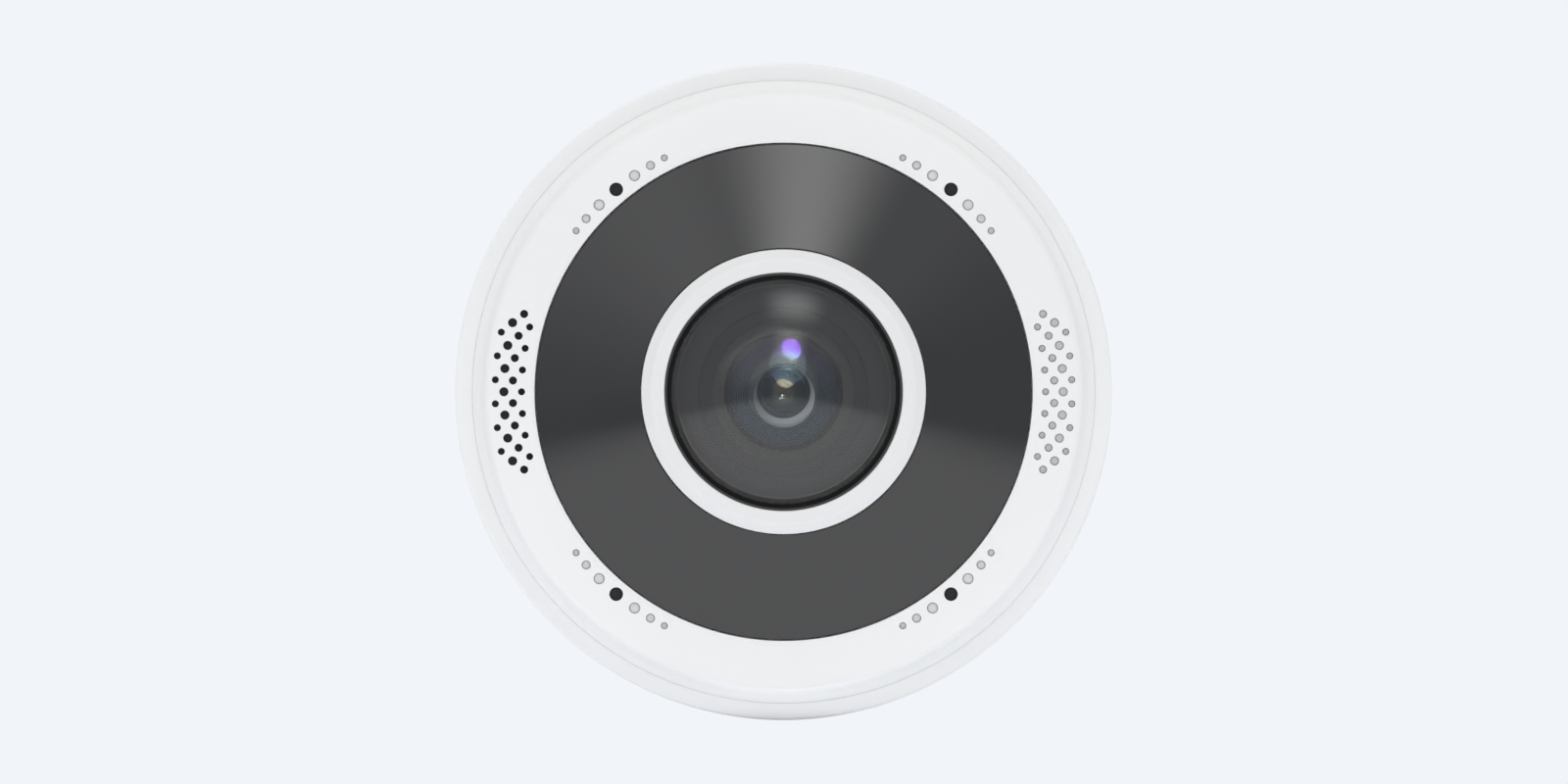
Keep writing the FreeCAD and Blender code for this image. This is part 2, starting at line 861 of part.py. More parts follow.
def window_seals():
    outer_from = window_radius - window_seal_width
    outer = turned(
        (outer_from, ledge_front),
        (window_radius, ledge_front),
        (window_radius, window_edge_back),
        (outer_from, window_level(outer_from, window_top_back)))
    inner = turned(
        (window_inner_radius, collar_shelf),
        (collar_foot_radius, collar_shelf),
        (collar_foot_radius, window_level(collar_foot_radius, window_top_back)),
        (window_inner_radius, window_top_back))
    return [outer, inner]


# Collar, dome and shroud around the lens

def lens_collar():
    collar = turned(
        (collar_tube_inner_radius, frame_front),
        (collar_foot_radius, frame_front),
        (collar_foot_radius, collar_shelf),
        (collar_radius, collar_shelf),
        (collar_radius, collar_edge_level),
        (collar_face_radius, collar_face_level),
        (collar_inner_radius + free_gap, collar_face_level),
        (collar_inner_radius, collar_face_level - free_gap),
        (collar_inner_radius, collar_under),
        (collar_tube_inner_radius, collar_under))
    tip = frame_back + collar_screw_length + seam_gap
    return bored(collar, collar_screw_radius + thread_gap, frame_front - beyond, tip,
                 collar_screw_circle_radius, collar_screw_angles)


def collar_screws():
    tip = frame_back + collar_screw_length
    return [screw(small_head_radius, small_head_height, collar_screw_radius, frame_back, tip,
                  *polar(collar_screw_circle_radius, angle)) for angle in collar_screw_angles]


def dome_seal():
    lip_inner = collar_inner_radius - dome_seal_lip_width
    lip_outer = collar_inner_radius - seam_gap / 2
    floor = collar_under + seam_gap
    return turned(
        (dome_radius + seam_gap, dome_seat),
        (dome_flange_radius, dome_seat),
        (dome_flange_radius, collar_under),
        (lip_outer, collar_under),
        (lip_outer, collar_under + dome_seal_lip),
        (lip_inner, collar_under + dome_seal_lip),
        (lip_inner, floor),
        (dome_radius + seam_gap, floor))


def lens_dome():
    outer = sphere_radius(dome_radius, dome_rise)
    inner = outer - dome_thickness
    inner_apex = dome_apex - dome_thickness
    inner_base = math.sqrt(inner ** 2 - (dome_back - (dome_apex - outer)) ** 2)
    return turned(
        (0, dome_apex),
        cap_arc(dome_apex, outer, 0, dome_radius),
        (dome_flange_radius, dome_seat),
        (dome_flange_radius, dome_back),
        (inner_base, dome_back),
        ((inner_base / 2, inner_apex - drop(inner, inner_base / 2)), (0, inner_apex)))


def lens_shroud():
    outer = collar_tube_inner_radius - free_gap
    seat = dome_radius + shroud_seat_margin
    start = dome_back - shroud_sink
    inner_edge = head_radius + 2 * free_gap
    edges = (dome_radius - shroud_first_step, dome_radius - shroud_second_step, inner_edge)
    top = [(outer, dome_back), (seat, dome_back), (seat - free_gap, start)]
    level = start
    for radius, rise in zip(edges, shroud_rises):
        level += rise
        top.append((radius, level))
        if radius != inner_edge:
            level += shroud_step_height
            top.append((radius - free_gap, level))
    under = [(inner_edge, level - shroud_skin), (outer - shroud_wall, start - shroud_skin),
             (outer - shroud_wall, frame_front), (outer, frame_front)]
    points = top + under
    return turned(points[0], *points[1:])


# Front frame and the infrared light board

def front_frame():
    frame = ring(frame_inner_radius, frame_radius, frame_back, frame_front)
    ears = [disc(ear_radius, frame_back, frame_front, *polar(port_circle_radius, a)) for a in port_angles]
    frame = frame.fuse(ears).removeSplitter()
    frame = frame.cut(block(header_width + 2 * free_gap, header_length + 2 * free_gap, frame_back - beyond,
                            frame_front + beyond, led_circle_radius))
    frame = bored(frame, frame_screw_radius + seam_gap, frame_back - beyond, frame_front + beyond,
                  frame_screw_circle_radius, frame_screw_angles)
    frame = bored(frame, collar_screw_radius + seam_gap, frame_back - beyond, frame_front + beyond,
                  collar_screw_circle_radius, collar_screw_angles)
    return bored(frame, led_screw_radius + thread_gap, frame_front - led_screw_depth, frame_front + beyond,
                 led_circle_radius, led_screw_angles())


def frame_screws():
    tip = frame_back + frame_screw_length
    return [screw(small_head_radius, small_head_height, frame_screw_radius, frame_back, tip,
                  *polar(frame_screw_circle_radius, angle)) for angle in frame_screw_angles]


def ir_led_board():
    board = ring(led_board_inner_radius, led_board_radius, frame_front, led_board_front)
    return bored(board, led_screw_radius + seam_gap, frame_front - beyond, led_board_front + beyond,
                 led_circle_radius, led_screw_angles())


def ir_leds():
    led = block(led_size, led_size, led_board_front, led_board_front + led_height, led_circle_radius)
    return round_pattern(led, even_angles(led_count, 0))


def ir_led_lenses():
    base = led_board_front + led_height
    edge = base + led_lens_edge
    radius = sphere_radius(led_lens_radius, led_lens_rise)
    lens = turned((0, base), (led_lens_radius, base), (led_lens_radius, edge),
                  ((led_lens_radius / 2, edge + led_lens_rise - drop(radius, led_lens_radius / 2)),
                   (0, edge + led_lens_rise)))
    lens.translate(FreeCAD.Vector(led_circle_radius, 0, 0))
    return round_pattern(lens, even_angles(led_count, 0))


def led_board_screws():
    tip = frame_front - led_screw_depth + seam_gap
    return [screw(small_head_radius, small_head_height, led_screw_radius, led_board_front, tip,
                  *polar(led_circle_radius, angle)) for angle in led_screw_angles()]


def led_screw_angles():
    half_pitch = full_turn / led_count / 2
    return even_angles(led_screw_count, half_pitch)


# Lens elements, barrel and holder

def lens_barrel():
    bore = second_lens_radius + seam_gap
    low_bore = third_lens_radius + seam_gap
    stop_back = barrel_back + rear_lens_edge + 2 * rear_lens_rise + seam_gap
    rear_bore = rear_lens_radius + seam_gap
    return turned(
        (rear_bore, barrel_back),
        (barrel_radius, barrel_back),
        (barrel_radius, head_back),
        (head_radius, head_back),
        (head_radius, head_front),
        (head_radius - head_wall, head_front),
        (head_radius - head_wall, front_lens_back),
        (bore, front_lens_back),
        (bore, spacer_back),
        (low_bore, spacer_back),
        (low_bore, stop_back + stop_thickness),
        (stop_radius, stop_back + stop_thickness),
        (stop_radius, stop_back),
        (rear_bore, stop_back))


def meniscus(radius, back, edge, rise, bowl_radius, bowl_depth):
    """A lens element with a domed front and a bowl in its back."""
    front = sphere_radius(radius, rise)
    bowl = sphere_radius(bowl_radius, bowl_depth)
    apex = back + edge + rise
    bowl_top = back + bowl_depth
    return turned(
        (0, apex),
        cap_arc(apex, front, 0, radius),
        (radius, back),
        (bowl_radius, back),
        ((bowl_radius / 2, bowl_top - drop(bowl, bowl_radius / 2)), (0, bowl_top)))


def biconvex(radius, back, edge, rise):
    curve = sphere_radius(radius, rise)
    half = drop(curve, radius / 2)
    front = back + 2 * rise + edge
    return turned(
        (0, back),
        ((radius / 2, back + half), (radius, back + rise)),
        (radius, back + rise + edge),
        ((radius / 2, front - half), (0, front)))


def front_lens():
    return meniscus(front_lens_radius, front_lens_back, front_lens_edge, front_lens_rise,
                    front_lens_bowl_radius, front_lens_bowl_depth)


def second_lens():
    return meniscus(second_lens_radius, second_lens_back, second_lens_edge, second_lens_rise,
                    second_lens_bowl_radius, second_lens_bowl_depth)


def lens_spacer():
    return ring(second_lens_bowl_radius, second_lens_radius, spacer_back, second_lens_back)


def third_lens():
    return biconvex(third_lens_radius, spacer_back - third_lens_edge - 2 * third_lens_rise - seam_gap,
                    third_lens_edge, third_lens_rise)


def rear_lens():
    return biconvex(rear_lens_radius, barrel_back, rear_lens_edge, rear_lens_rise)


def lens_lock_ring():
    return ring(barrel_radius + thread_gap, lock_ring_radius, neck_front, neck_front + lock_ring_height)


def holder_places():
    return [(sx * holder_screw_x, sy * holder_screw_y) for sx in (-1, 1) for sy in (-1, 1)]


def with_ears(body, low, high):
    ears = [disc(holder_ear_radius, low, high, x, y) for x, y in holder_places()]
    body = body.fuse(ears).removeSplitter()
    for x, y in holder_places():
        body = body.cut(disc(holder_screw_radius + seam_gap, low - beyond, high + beyond, x, y))
    return body


def lens_holder():
    body = block(2 * holder_half_width, 2 * holder_half_height, filter_base_front, holder_front)
    body = with_ears(body, filter_base_front, filter_base_front + holder_ear_height)
    body = body.fuse(disc(neck_radius, holder_front - seam_gap, neck_front))
    room_height = 2 * (filter_half_height + seam_gap)
    body = body.cut(block(2 * filter_room, room_height, filter_base_front - beyond, filter_roof))
    gate = filter_travel + tab_width + 2 * gate_gap
    body = body.cut(block(gate, beyond, filter_base_front - beyond, filter_roof, 0, -holder_half_height))
    bore = barrel_radius + thread_gap
    body = body.cut(disc(bore, filter_roof + filter_play, neck_front + beyond))
    return body.cut(disc(rear_lens_radius, filter_base_front, neck_front)).removeSplitter()


def filter_base():
    base = block(2 * holder_half_width, 2 * holder_half_height, sensor_board_front, filter_base_front)
    base = with_ears(base, sensor_board_front, filter_base_front)
    return base.cut(block(sensor_width + 2 * sensor_room, sensor_height + 2 * sensor_room,
                          sensor_board_front - beyond, filter_base_front + beyond))


def holder_screws():
    seat = filter_base_front + holder_ear_height
    tip = sensor_board_back - holder_screw_grip
    return [screw(small_head_radius, small_head_height, holder_screw_radius, seat, tip, x, y)
            for x, y in holder_places()]


def sensor_standoffs():
    floor = sensor_board_back - holder_screw_grip - seam_gap
    return [disc(standoff_radius, board_front, sensor_board_back, x, y).cut(
        disc(holder_screw_radius + thread_gap, floor, sensor_board_back + beyond, x, y))
        for x, y in holder_places()]


def sensor_board():
    board = block(sensor_board_width, sensor_board_height, sensor_board_back, sensor_board_front)
    for x, y in holder_places():
        board = board.cut(disc(holder_screw_radius + seam_gap, sensor_board_back - beyond,
                               sensor_board_front + beyond, x, y))
    return board


def image_sensor():
    return block(sensor_width, sensor_height, sensor_board_front, sensor_board_front + sensor_thickness)


def board_connector():
    return block(connector_length, connector_width, board_front, sensor_board_back)


# Filter that slides in behind the lens, and the coil-driven lever that moves it

def filter_frame():
    frame = block(2 * filter_half_width, 2 * filter_half_height, filter_back, filter_front, filter_start_x)
    reach = lever_reach()
    tab_far = reach - filter_travel_rise() / 2 - 2 * pin_radius - 2 * pin_slot_gap
    tab_length = -filter_half_height - tab_far
    frame = frame.fuse(block(tab_width, tab_length + beyond, filter_back, filter_front, filter_start_x,
                             tab_far + (tab_length + beyond) / 2)).removeSplitter()
    glass_room = filter_glass_size + seam_gap
    for side in (-1, 1):
        x = filter_start_x + side * filter_travel / 2
        frame = frame.cut(block(glass_room, glass_room, filter_front - filter_glass_thickness,
                                filter_front + beyond, x))
        opening = filter_glass_size - 2 * filter_glass_lip
        frame = frame.cut(block(opening, opening, filter_back - beyond, filter_front + beyond, x))
    slot = 2 * (pin_radius + pin_slot_gap)
    return frame.cut(block(slot, filter_travel_rise() + slot, filter_back - beyond, filter_front + beyond,
                           filter_start_x, reach))


def filter_travel_rise():
    """How far the lever's pin rises and falls along the slot as the lever swings."""
    return lever_length * (1 - math.cos(math.radians(lever_swing / 2)))


def lever_reach():
    """The middle of the pin's path along the slot."""
    return lever_pivot_y + lever_length - filter_travel_rise() / 2


def filter_glasses():
    low = filter_front - filter_glass_thickness
    return [block(filter_glass_size, filter_glass_size, low, filter_front,
                  filter_start_x + side * filter_travel / 2) for side in (-1, 1)]


def lever_levels():
    arm_front = filter_back - 2 * filter_play
    return arm_front - lever_thickness, arm_front


def filter_lever():
    arm_back, arm_front = lever_levels()
    coil_front = holder_front - free_gap
    pin_y = lever_pivot_y + lever_length
    arm = block(lever_width, lever_length, arm_back, arm_front, 0, (pin_y + lever_pivot_y) / 2)
    lever = arm.fuse([
        disc(lever_width / 2, arm_back, arm_front, 0, pin_y),
        disc(rotor_radius, arm_back, coil_front + filter_play, 0, lever_pivot_y),
        disc(rotor_cap_radius, coil_front + filter_play, coil_front + filter_play + rotor_cap_height, 0,
             lever_pivot_y),
        disc(pin_radius, arm_front, filter_front + free_gap, 0, pin_y)]).removeSplitter()
    lever.rotate(FreeCAD.Vector(0, lever_pivot_y, 0), axis, lever_swing / 2)
    return lever


def filter_coil():
    front = holder_front - free_gap
    coil_y = (coil_near_y + coil_far_y) / 2
    coil = block(coil_width, coil_near_y - coil_far_y, front - coil_height, front, 0, coil_y)
    bridge_length = -holder_half_height - coil_near_y
    bridge = block(coil_bridge_width, bridge_length, front - coil_bridge_height, front, 0,
                   coil_near_y + bridge_length / 2)
    coil = coil.fuse(bridge).removeSplitter()
    return coil.cut(disc(rotor_radius + running_gap, front - coil_height - beyond, front + beyond, 0,
                         lever_pivot_y))


# Speaker and microphones

def speaker_frame():
    frame = disc(speaker_radius, speaker_back, duct_back, speaker_x)
    frame = frame.cut(disc(speaker_radius - speaker_wall, speaker_back + speaker_wall, duct_back + beyond,
                           speaker_x))
    return frame.cut(disc(magnet_radius + thread_gap, speaker_back - beyond, duct_back, speaker_x))


def speaker_magnet():
    return disc(magnet_radius, speaker_back - magnet_below, speaker_back + magnet_above, speaker_x)


def speaker_cone():
    rim = duct_back - cone_lift
    outer = speaker_radius - speaker_wall - free_gap
    low = rim - cone_depth
    cap = low + cone_thickness + cone_cap_rise
    cap_radius = sphere_radius(cone_cap_radius, cone_cap_rise)
    cone = turned(
        (0, low),
        (cone_cap_radius, low),
        (outer - cone_rim_width, rim - cone_thickness),
        (outer, rim - cone_thickness),
        (outer, rim),
        (outer - cone_rim_width, rim),
        (cone_cap_radius, low + cone_thickness),
        ((cone_cap_radius / 2, cap - drop(cap_radius, cone_cap_radius / 2)), (0, cap)))
    cone.translate(FreeCAD.Vector(speaker_x, 0, 0))
    return cone


def speaker_duct():
    inner = window_wall_radius + free_gap
    outer = ledge_inner_radius - free_gap
    inner_spread = duct_spread - math.degrees(duct_wall / inner)
    top = cover_under - mesh_thickness
    duct = sector(inner, outer, duct_back, top, speaker_side, duct_spread)
    duct = duct.fuse(disc(speaker_radius, duct_back, duct_back + duct_base, speaker_x)).removeSplitter()
    duct = duct.cut(disc(speaker_radius - speaker_wall, duct_back - beyond, duct_back + duct_floor,
                         speaker_x))
    return duct.cut(sector(inner + duct_wall, outer - duct_wall, duct_back + duct_floor, top + beyond,
                           speaker_side, inner_spread))


def clear_of_wall(shape):
    """Trims a seal flat where the wall round the window stands beside it."""
    return shape.cut(disc(window_wall_radius + seam_gap, ledge_back - free_gap, cover_under + beyond))


def port_meshes():
    grille = sector(window_wall_radius + free_gap, ledge_inner_radius - free_gap,
                    cover_under - mesh_thickness, cover_under, speaker_side, duct_spread)
    port = clear_of_wall(disc(mic_mesh_radius, cover_under - mesh_thickness, cover_under, port_circle_radius))
    return [grille] + round_pattern(port, port_angles)


def microphones():
    board_top = frame_front + mic_board_thickness
    board = disc(mic_board_radius, frame_front, board_top, port_circle_radius)
    can = block(mic_width, mic_height, board_top, board_top + mic_thickness, port_circle_radius)
    return round_pattern(board.fuse(can).removeSplitter(), port_angles)


def mic_boots():
    low = frame_front + mic_board_thickness
    boot = disc(mic_boot_radius, low, cover_under - mesh_thickness, port_circle_radius)
    boot = boot.cut(block(mic_width + 2 * thread_gap, mic_height + 2 * thread_gap, low - beyond,
                          low + mic_thickness, port_circle_radius))
    boot = clear_of_wall(boot.cut(disc(mic_bore_radius, low, cover_under + beyond, port_circle_radius)))
    return round_pattern(boot, port_angles)


# Each piece goes onto the wall and into its own file

def hang(shape):
    hung = shape.copy()
    hung.rotate(centre, FreeCAD.Vector(1, 0, 0), quarter_turn)
    return hung


def save(piece):
    made = piece()
    solids = made if isinstance(made, list) else [made]
    shape = solids[0] if len(solids) == 1 else Part.makeCompound(solids)
    hang(shape).exportStep("parts/" + piece.__name__ + ".step")


pieces = (
    mount_plate, twist_lock_studs, security_screw, rear_housing, housing_gasket, ethernet_jack, jack_contacts,
    jack_seal, reset_button, reset_switch, vent_plug, main_board, board_screws, processor, heat_pad,
    memory_chips, poe_transformer, power_capacitors, led_header, front_cover, cover_screws, ir_window,
    window_seals, lens_collar, collar_screws, dome_seal, lens_dome, lens_shroud, front_frame, frame_screws,
    ir_led_board, ir_leds, ir_led_lenses, led_board_screws, lens_barrel, front_lens, second_lens, lens_spacer,
    third_lens, rear_lens, lens_lock_ring, lens_holder, filter_base, holder_screws, sensor_standoffs,
    sensor_board, image_sensor, board_connector, filter_frame, filter_glasses, filter_lever, filter_coil,
    speaker_frame, speaker_magnet, speaker_cone, speaker_duct, port_meshes, microphones, mic_boots)

os.makedirs("parts", exist_ok=True)
for piece in pieces:
    save(piece)
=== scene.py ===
# %% [markdown]
# # A fisheye network camera
#
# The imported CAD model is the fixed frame: it brings every solid, where it sits and how it moves. This script
# dresses it. The camera faces -Y with +Z up, and the origin is on the wall, at the middle of its mounting plate.
# Sizes are written in millimetres, as on a workshop drawing, and heights are counted from the wall.

import math

import bpy
import mathutils
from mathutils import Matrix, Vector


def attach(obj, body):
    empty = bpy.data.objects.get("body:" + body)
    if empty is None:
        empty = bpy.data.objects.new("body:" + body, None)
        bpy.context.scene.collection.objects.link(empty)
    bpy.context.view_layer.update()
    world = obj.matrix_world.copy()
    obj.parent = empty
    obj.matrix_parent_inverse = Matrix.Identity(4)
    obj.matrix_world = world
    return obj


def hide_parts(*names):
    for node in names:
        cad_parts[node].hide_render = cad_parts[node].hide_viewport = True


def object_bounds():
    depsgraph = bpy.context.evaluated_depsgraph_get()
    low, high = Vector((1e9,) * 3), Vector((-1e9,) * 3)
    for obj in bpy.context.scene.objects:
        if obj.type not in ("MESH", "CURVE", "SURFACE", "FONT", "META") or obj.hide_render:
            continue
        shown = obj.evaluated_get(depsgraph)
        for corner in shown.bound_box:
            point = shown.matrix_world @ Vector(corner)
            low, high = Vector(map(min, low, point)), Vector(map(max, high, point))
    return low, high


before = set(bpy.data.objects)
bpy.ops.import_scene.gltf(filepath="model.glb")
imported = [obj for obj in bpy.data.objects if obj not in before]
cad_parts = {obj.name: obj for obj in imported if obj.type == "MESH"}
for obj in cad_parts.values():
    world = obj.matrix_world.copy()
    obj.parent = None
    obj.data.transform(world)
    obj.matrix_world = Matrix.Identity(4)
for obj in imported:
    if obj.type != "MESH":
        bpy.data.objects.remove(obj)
cad_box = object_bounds()

# %% [markdown]
# ## The view
#
# The photograph looks squarely at the lens: circles stay circles and no side shows. A long lens far away would
# nearly do it, but an orthographic camera does it exactly, so the width of the picture is simply a length.

# %% Camera
MM = 0.001
PICTURE_WIDTH = 382.1 * MM
CAMERA_AT = (0.1 * MM, -600 * MM, -0.05 * MM)
LOOKS_LEVEL = (math.radians(90), 0, 0)

view_data = bpy.data.cameras.new("view")
view_data.type = "ORTHO"
view_data.ortho_scale = PICTURE_WIDTH
view = bpy.data.objects.new("view", view_data)
view.location = CAMERA_AT
view.rotation_euler = LOOKS_LEVEL
bpy.context.scene.collection.objects.link(view)
bpy.context.scene.camera = view
bpy.context.scene.view_settings.view_transform = "Standard"
print("picture width in metres:", view_data.ortho_scale)

# %% [markdown]
# ## Small tools for node trees
#
# World, lamps and finishes are all made of nodes. A few short helpers keep them readable: one adds a node, one
# links two sockets, and the others stand for the sums and mixes that come back again and again.

# %% Helpers for nodes
def link(tree, source, target):
    tree.links.new(source, target)


def put(tree, kind, **settings):
    """Adds a shader node; inputs are given by name with spaces written as underscores."""
    made = tree.nodes.new("ShaderNode" + kind)
    for key, value in settings.items():
        socket = made.inputs.get(key.replace("_", " "))
        if socket is not None:
            socket.default_value = value
        else:
            setattr(made, key, value)
    return made


def coordinates(tree):
    return put(tree, "TexCoord").outputs["Object"]


def split(tree, vector):
    """The X, Y and Z of a vector socket."""
    made = put(tree, "SeparateXYZ")
    link(tree, vector, made.inputs[0])
    return made.outputs


def maths(tree, first, second, operation="MULTIPLY"):
    """A sum of two numbers or sockets."""
    made = put(tree, "Math", operation=operation)
    for socket, value in zip(made.inputs, (first, second)):
        if isinstance(value, (int, float)):
            socket.default_value = value
        else:
            link(tree, value, socket)
    return made.outputs[0]


def spread(tree, value, low, high, from_low=0.3, from_high=0.7, run="LINEAR"):
    """Carries the range from_low to from_high over to the range low to high, and holds the ends."""
    made = put(tree, "MapRange", interpolation_type=run)
    link(tree, value, made.inputs["Value"])
    for key, number in (("From Min", from_low), ("From Max", from_high), ("To Min", low), ("To Max", high)):
        made.inputs[key].default_value = number
    return made.outputs["Result"]


def mixed(tree, factor, first, second):
    """A colour between first and second, which are colours, greys given as one number, or sockets."""
    made = put(tree, "Mix", data_type="RGBA")
    link(tree, factor, made.inputs["Factor"])
    for socket, value in zip([i for i in made.inputs if i.type == "RGBA"], (first, second)):
        if isinstance(value, float):
            value = (value,) * 3
        if isinstance(value, tuple):
            socket.default_value = value + (1.0,)
        else:
            link(tree, value, socket)
    return next(o for o in made.outputs if o.type == "RGBA")


def rays(tree, *kinds):
    """1 for a ray of any of these kinds, and 0 for all others."""
    path = put(tree, "LightPath")
    found = path.outputs[kinds[0]]
    for kind in kinds[1:]:
        found = maths(tree, found, path.outputs[kind], "MAXIMUM")
    return found


def blended(tree, factor, first, second, output):
    """Sends a blend of two surfaces or backgrounds to the tree's output node."""
    made = put(tree, "MixShader")
    link(tree, factor, made.inputs["Fac"])
    link(tree, first.outputs[0], made.inputs[1])
    link(tree, second.outputs[0], made.inputs[2])
    link(tree, made.outputs[0], tree.nodes[output].inputs["Surface"])


def new_material(name):
    """A material and its node tree, with the principled surface that every finish here starts from."""
    material = bpy.data.materials.new(name)
    material.use_nodes = True
    return material, material.node_tree, material.node_tree.nodes["Principled BSDF"]


print("helpers are ready")

# %% [markdown]
# ## Floor, backdrop and light
#
# A pale floor lies just under the housing, and the world is the backdrop. Rays that a viewer sees, in glass or
# in gloss too, meet the backdrop's own colour at strength 1. The light that it gives is weaker and white, and soft
# lamps add the rest.

# %% World
BACKDROP = (0.880, 0.905, 0.947, 1.0)
AMBIENT_WHITE = (1.0, 1.0, 1.0, 1.0)
AMBIENT = 0.652

world = bpy.data.worlds.new("studio")
bpy.context.scene.world = world
world.use_nodes = True
sky = world.node_tree
backdrop = sky.nodes["Background"]
backdrop.inputs["Color"].default_value = BACKDROP
backdrop.inputs["Strength"].default_value = 1.0
room = put(sky, "Background", Color=AMBIENT_WHITE, Strength=AMBIENT)
seen = rays(sky, "Is Camera Ray", "Is Glossy Ray", "Is Transmission Ray")
blended(sky, seen, room, backdrop, "World Output")
print("ambient strength:", AMBIENT)

# %% [markdown]
# ### Lamps
#
# The dark window is a cone and mirrors one direction for each clock angle, so its light and dark sectors say where
# the lamps stood: a bright one almost at the top, and broad weak ones to both sides. They are softboxes that fade
# towards their edges. Sizes and distances are in metres, angles in degrees.

# %% Lamps
TARGET = (0.0, -0.045, 0.0)


def fade(tree, across, start, brightest_at=0.5):
    """1 in the middle of a softbox and 0 at its edge, along one of its sides."""
    reach = max(brightest_at, 1 - brightest_at)
    off = maths(tree, maths(tree, across, brightest_at, "SUBTRACT"), 0.0, "ABSOLUTE")
    return spread(tree, off, 1.0, 0.0, start * reach, reach, "SMOOTHSTEP")


def softbox(name, width, height, radiance, flat=None, diffuse=True, glossy=True):
    """An area lamp that shines evenly over the share flat of its width and height and fades towards its edges.
    A third value in flat says where along its height it is brightest."""
    data = bpy.data.lights.new(name, "AREA")
    data.shape = "RECTANGLE"
    data.size, data.size_y = width, height
    data.energy = radiance * math.pi * width * height
    lit = bpy.data.objects.new(name, data)
    lit.visible_camera = False
    lit.visible_diffuse = diffuse
    lit.visible_glossy = glossy
    if flat:
        data.use_nodes = True
        tree = data.node_tree
        sides = split(tree, put(tree, "NewGeometry").outputs["Parametric"])
        across, along = fade(tree, sides["X"], flat[0]), fade(tree, sides["Y"], *flat[1:])
        link(tree, maths(tree, across, along), tree.nodes["Emission"].inputs["Strength"])
    bpy.context.scene.collection.objects.link(lit)
    return lit


def lamp(name, azimuth, tilt, distance, width, height, radiance, **settings):
    """A softbox aimed at the lens: azimuth is its clock angle in the picture, tilt its angle off the view axis.
    Its width runs round the clock and its height away from the view axis."""
    around, off = math.radians(azimuth), math.radians(tilt)
    lit = softbox(name, width, height, radiance, **settings)
    lit.location = (TARGET[0] + distance * math.sin(off) * math.cos(around),
                    TARGET[1] - distance * math.cos(off),
                    TARGET[2] + distance * math.sin(off) * math.sin(around))
    turn = mathutils.Matrix.Rotation(math.radians(90) - around, 3, "Y") @ mathutils.Matrix.Rotation(
        math.radians(90) - off, 3, "X")
    lit.rotation_euler = turn.to_euler()
    return lit


lamp("key_window", azimuth=83, tilt=26.4, distance=0.9, width=0.41, height=0.42, radiance=3.25,
     flat=(0.0, 0.6), diffuse=False)
lamp("key_dome", azimuth=83, tilt=53, distance=0.9, width=0.62, height=0.50, radiance=3.0, flat=(0.0, 0.0))
FILLS = (("fill_left", 174, 0.50), ("fill_right", 4, 0.38), ("fill_top", 90, 0.75))
for name, azimuth, radiance in FILLS:
    lamp(name, azimuth, tilt=78, distance=1.1, width=1.2, height=1.0, radiance=radiance, glossy=False)

# %% [markdown]
# ### Cards and low glows
#
# Cards that only gloss can see shape the reflections in the window and the dome, as in a product studio. The
# glows do the opposite: they lift the white underside near the floor and show in no reflection.

# %% Cards and low glows
CARDS = (("card_upper_left", 125, 1.00, 1.0), ("card_upper_right", 50, 0.60, 0.45))
for name, azimuth, width, radiance in CARDS:
    lamp(name, azimuth, tilt=26.4, distance=0.9, width=width, height=0.42, radiance=radiance,
         flat=(0.0, 0.6), diffuse=False)

FLOOR_LEVEL = cad_box[0][2] - 0.05 * MM
LOW_LIFT = 0.6 * MM
NEAR_SIDE = 0.0
FACES_UP = (math.radians(180), 0, 0)


def low_lamp(name, near, width, depth, radiance, **settings):
    """A softbox that lies on the floor in front of the housing, from near on."""
    low = softbox(name, width, depth, radiance, **settings)
    low.location = (0.0, near - depth / 2, FLOOR_LEVEL + LOW_LIFT)
    low.rotation_euler = FACES_UP
    print("low lamp:", low.name)


low_lamp("card_floor", near=-0.060, width=0.90, depth=1.60, radiance=1.03, flat=(0.35, 0.15, NEAR_SIDE),
         diffuse=False)
low_lamp("glow_floor", near=-0.036, width=0.60, depth=0.50, radiance=0.31, glossy=False)
low_lamp("glow_foot", near=-0.0365, width=0.09, depth=0.006, radiance=0.24, flat=(0.0, 0.9), glossy=False)

# %% [markdown]
# ### The floor
#
# One large plane, matt and as pale as the backdrop. Near the camera it is an ordinary surface and keeps the
# shadow. Farther off, what the viewer sees of it passes softly into the backdrop's colour, as a studio's paper
# sweep does, so no horizon shows.

# %% Floor
FLOOR_SIZE = 6.0
SWEEP_FROM, SWEEP_TO = 0.25, 0.90

bpy.ops.object.select_all(action="DESELECT")
bpy.ops.mesh.primitive_plane_add(size=FLOOR_SIZE, location=(0, 0, FLOOR_LEVEL))
floor = bpy.context.object
floor.name = "floor"
bpy.ops.object.transform_apply(location=True)
floor_paint, paint, matt = new_material("floor_paint")
for key, value in (("Base Color", BACKDROP), ("Roughness", 0.9), ("Specular IOR Level", 0.1)):
    matt.inputs[key].default_value = value
distance = put(paint, "VectorMath", operation="LENGTH")
link(paint, coordinates(paint), distance.inputs[0])
sweep = spread(paint, distance.outputs["Value"], 0.0, 1.0, SWEEP_FROM, SWEEP_TO, "SMOOTHSTEP")
sweep_seen = maths(paint, sweep, rays(paint, "Is Camera Ray"))
plain = maths(paint, rays(paint, "Is Glossy Ray", "Is Transmission Ray"), sweep_seen, "MAXIMUM")
blended(paint, plain, matt, put(paint, "Emission", Color=BACKDROP), "Material Output")
floor.data.materials.append(floor_paint)
print("floor level in metres:", round(FLOOR_LEVEL, 4))

# %% [markdown]
# ## Finishes
#
# Almost every finish here has three layers: a colour that drifts a little from place to place, a roughness that
# isn't quite even, and a fine relief. They are procedural, so they have no seams and no pictures. Edges get a
# little wear: a bevelled normal is compared with the true one, and where the two part, there is an edge.

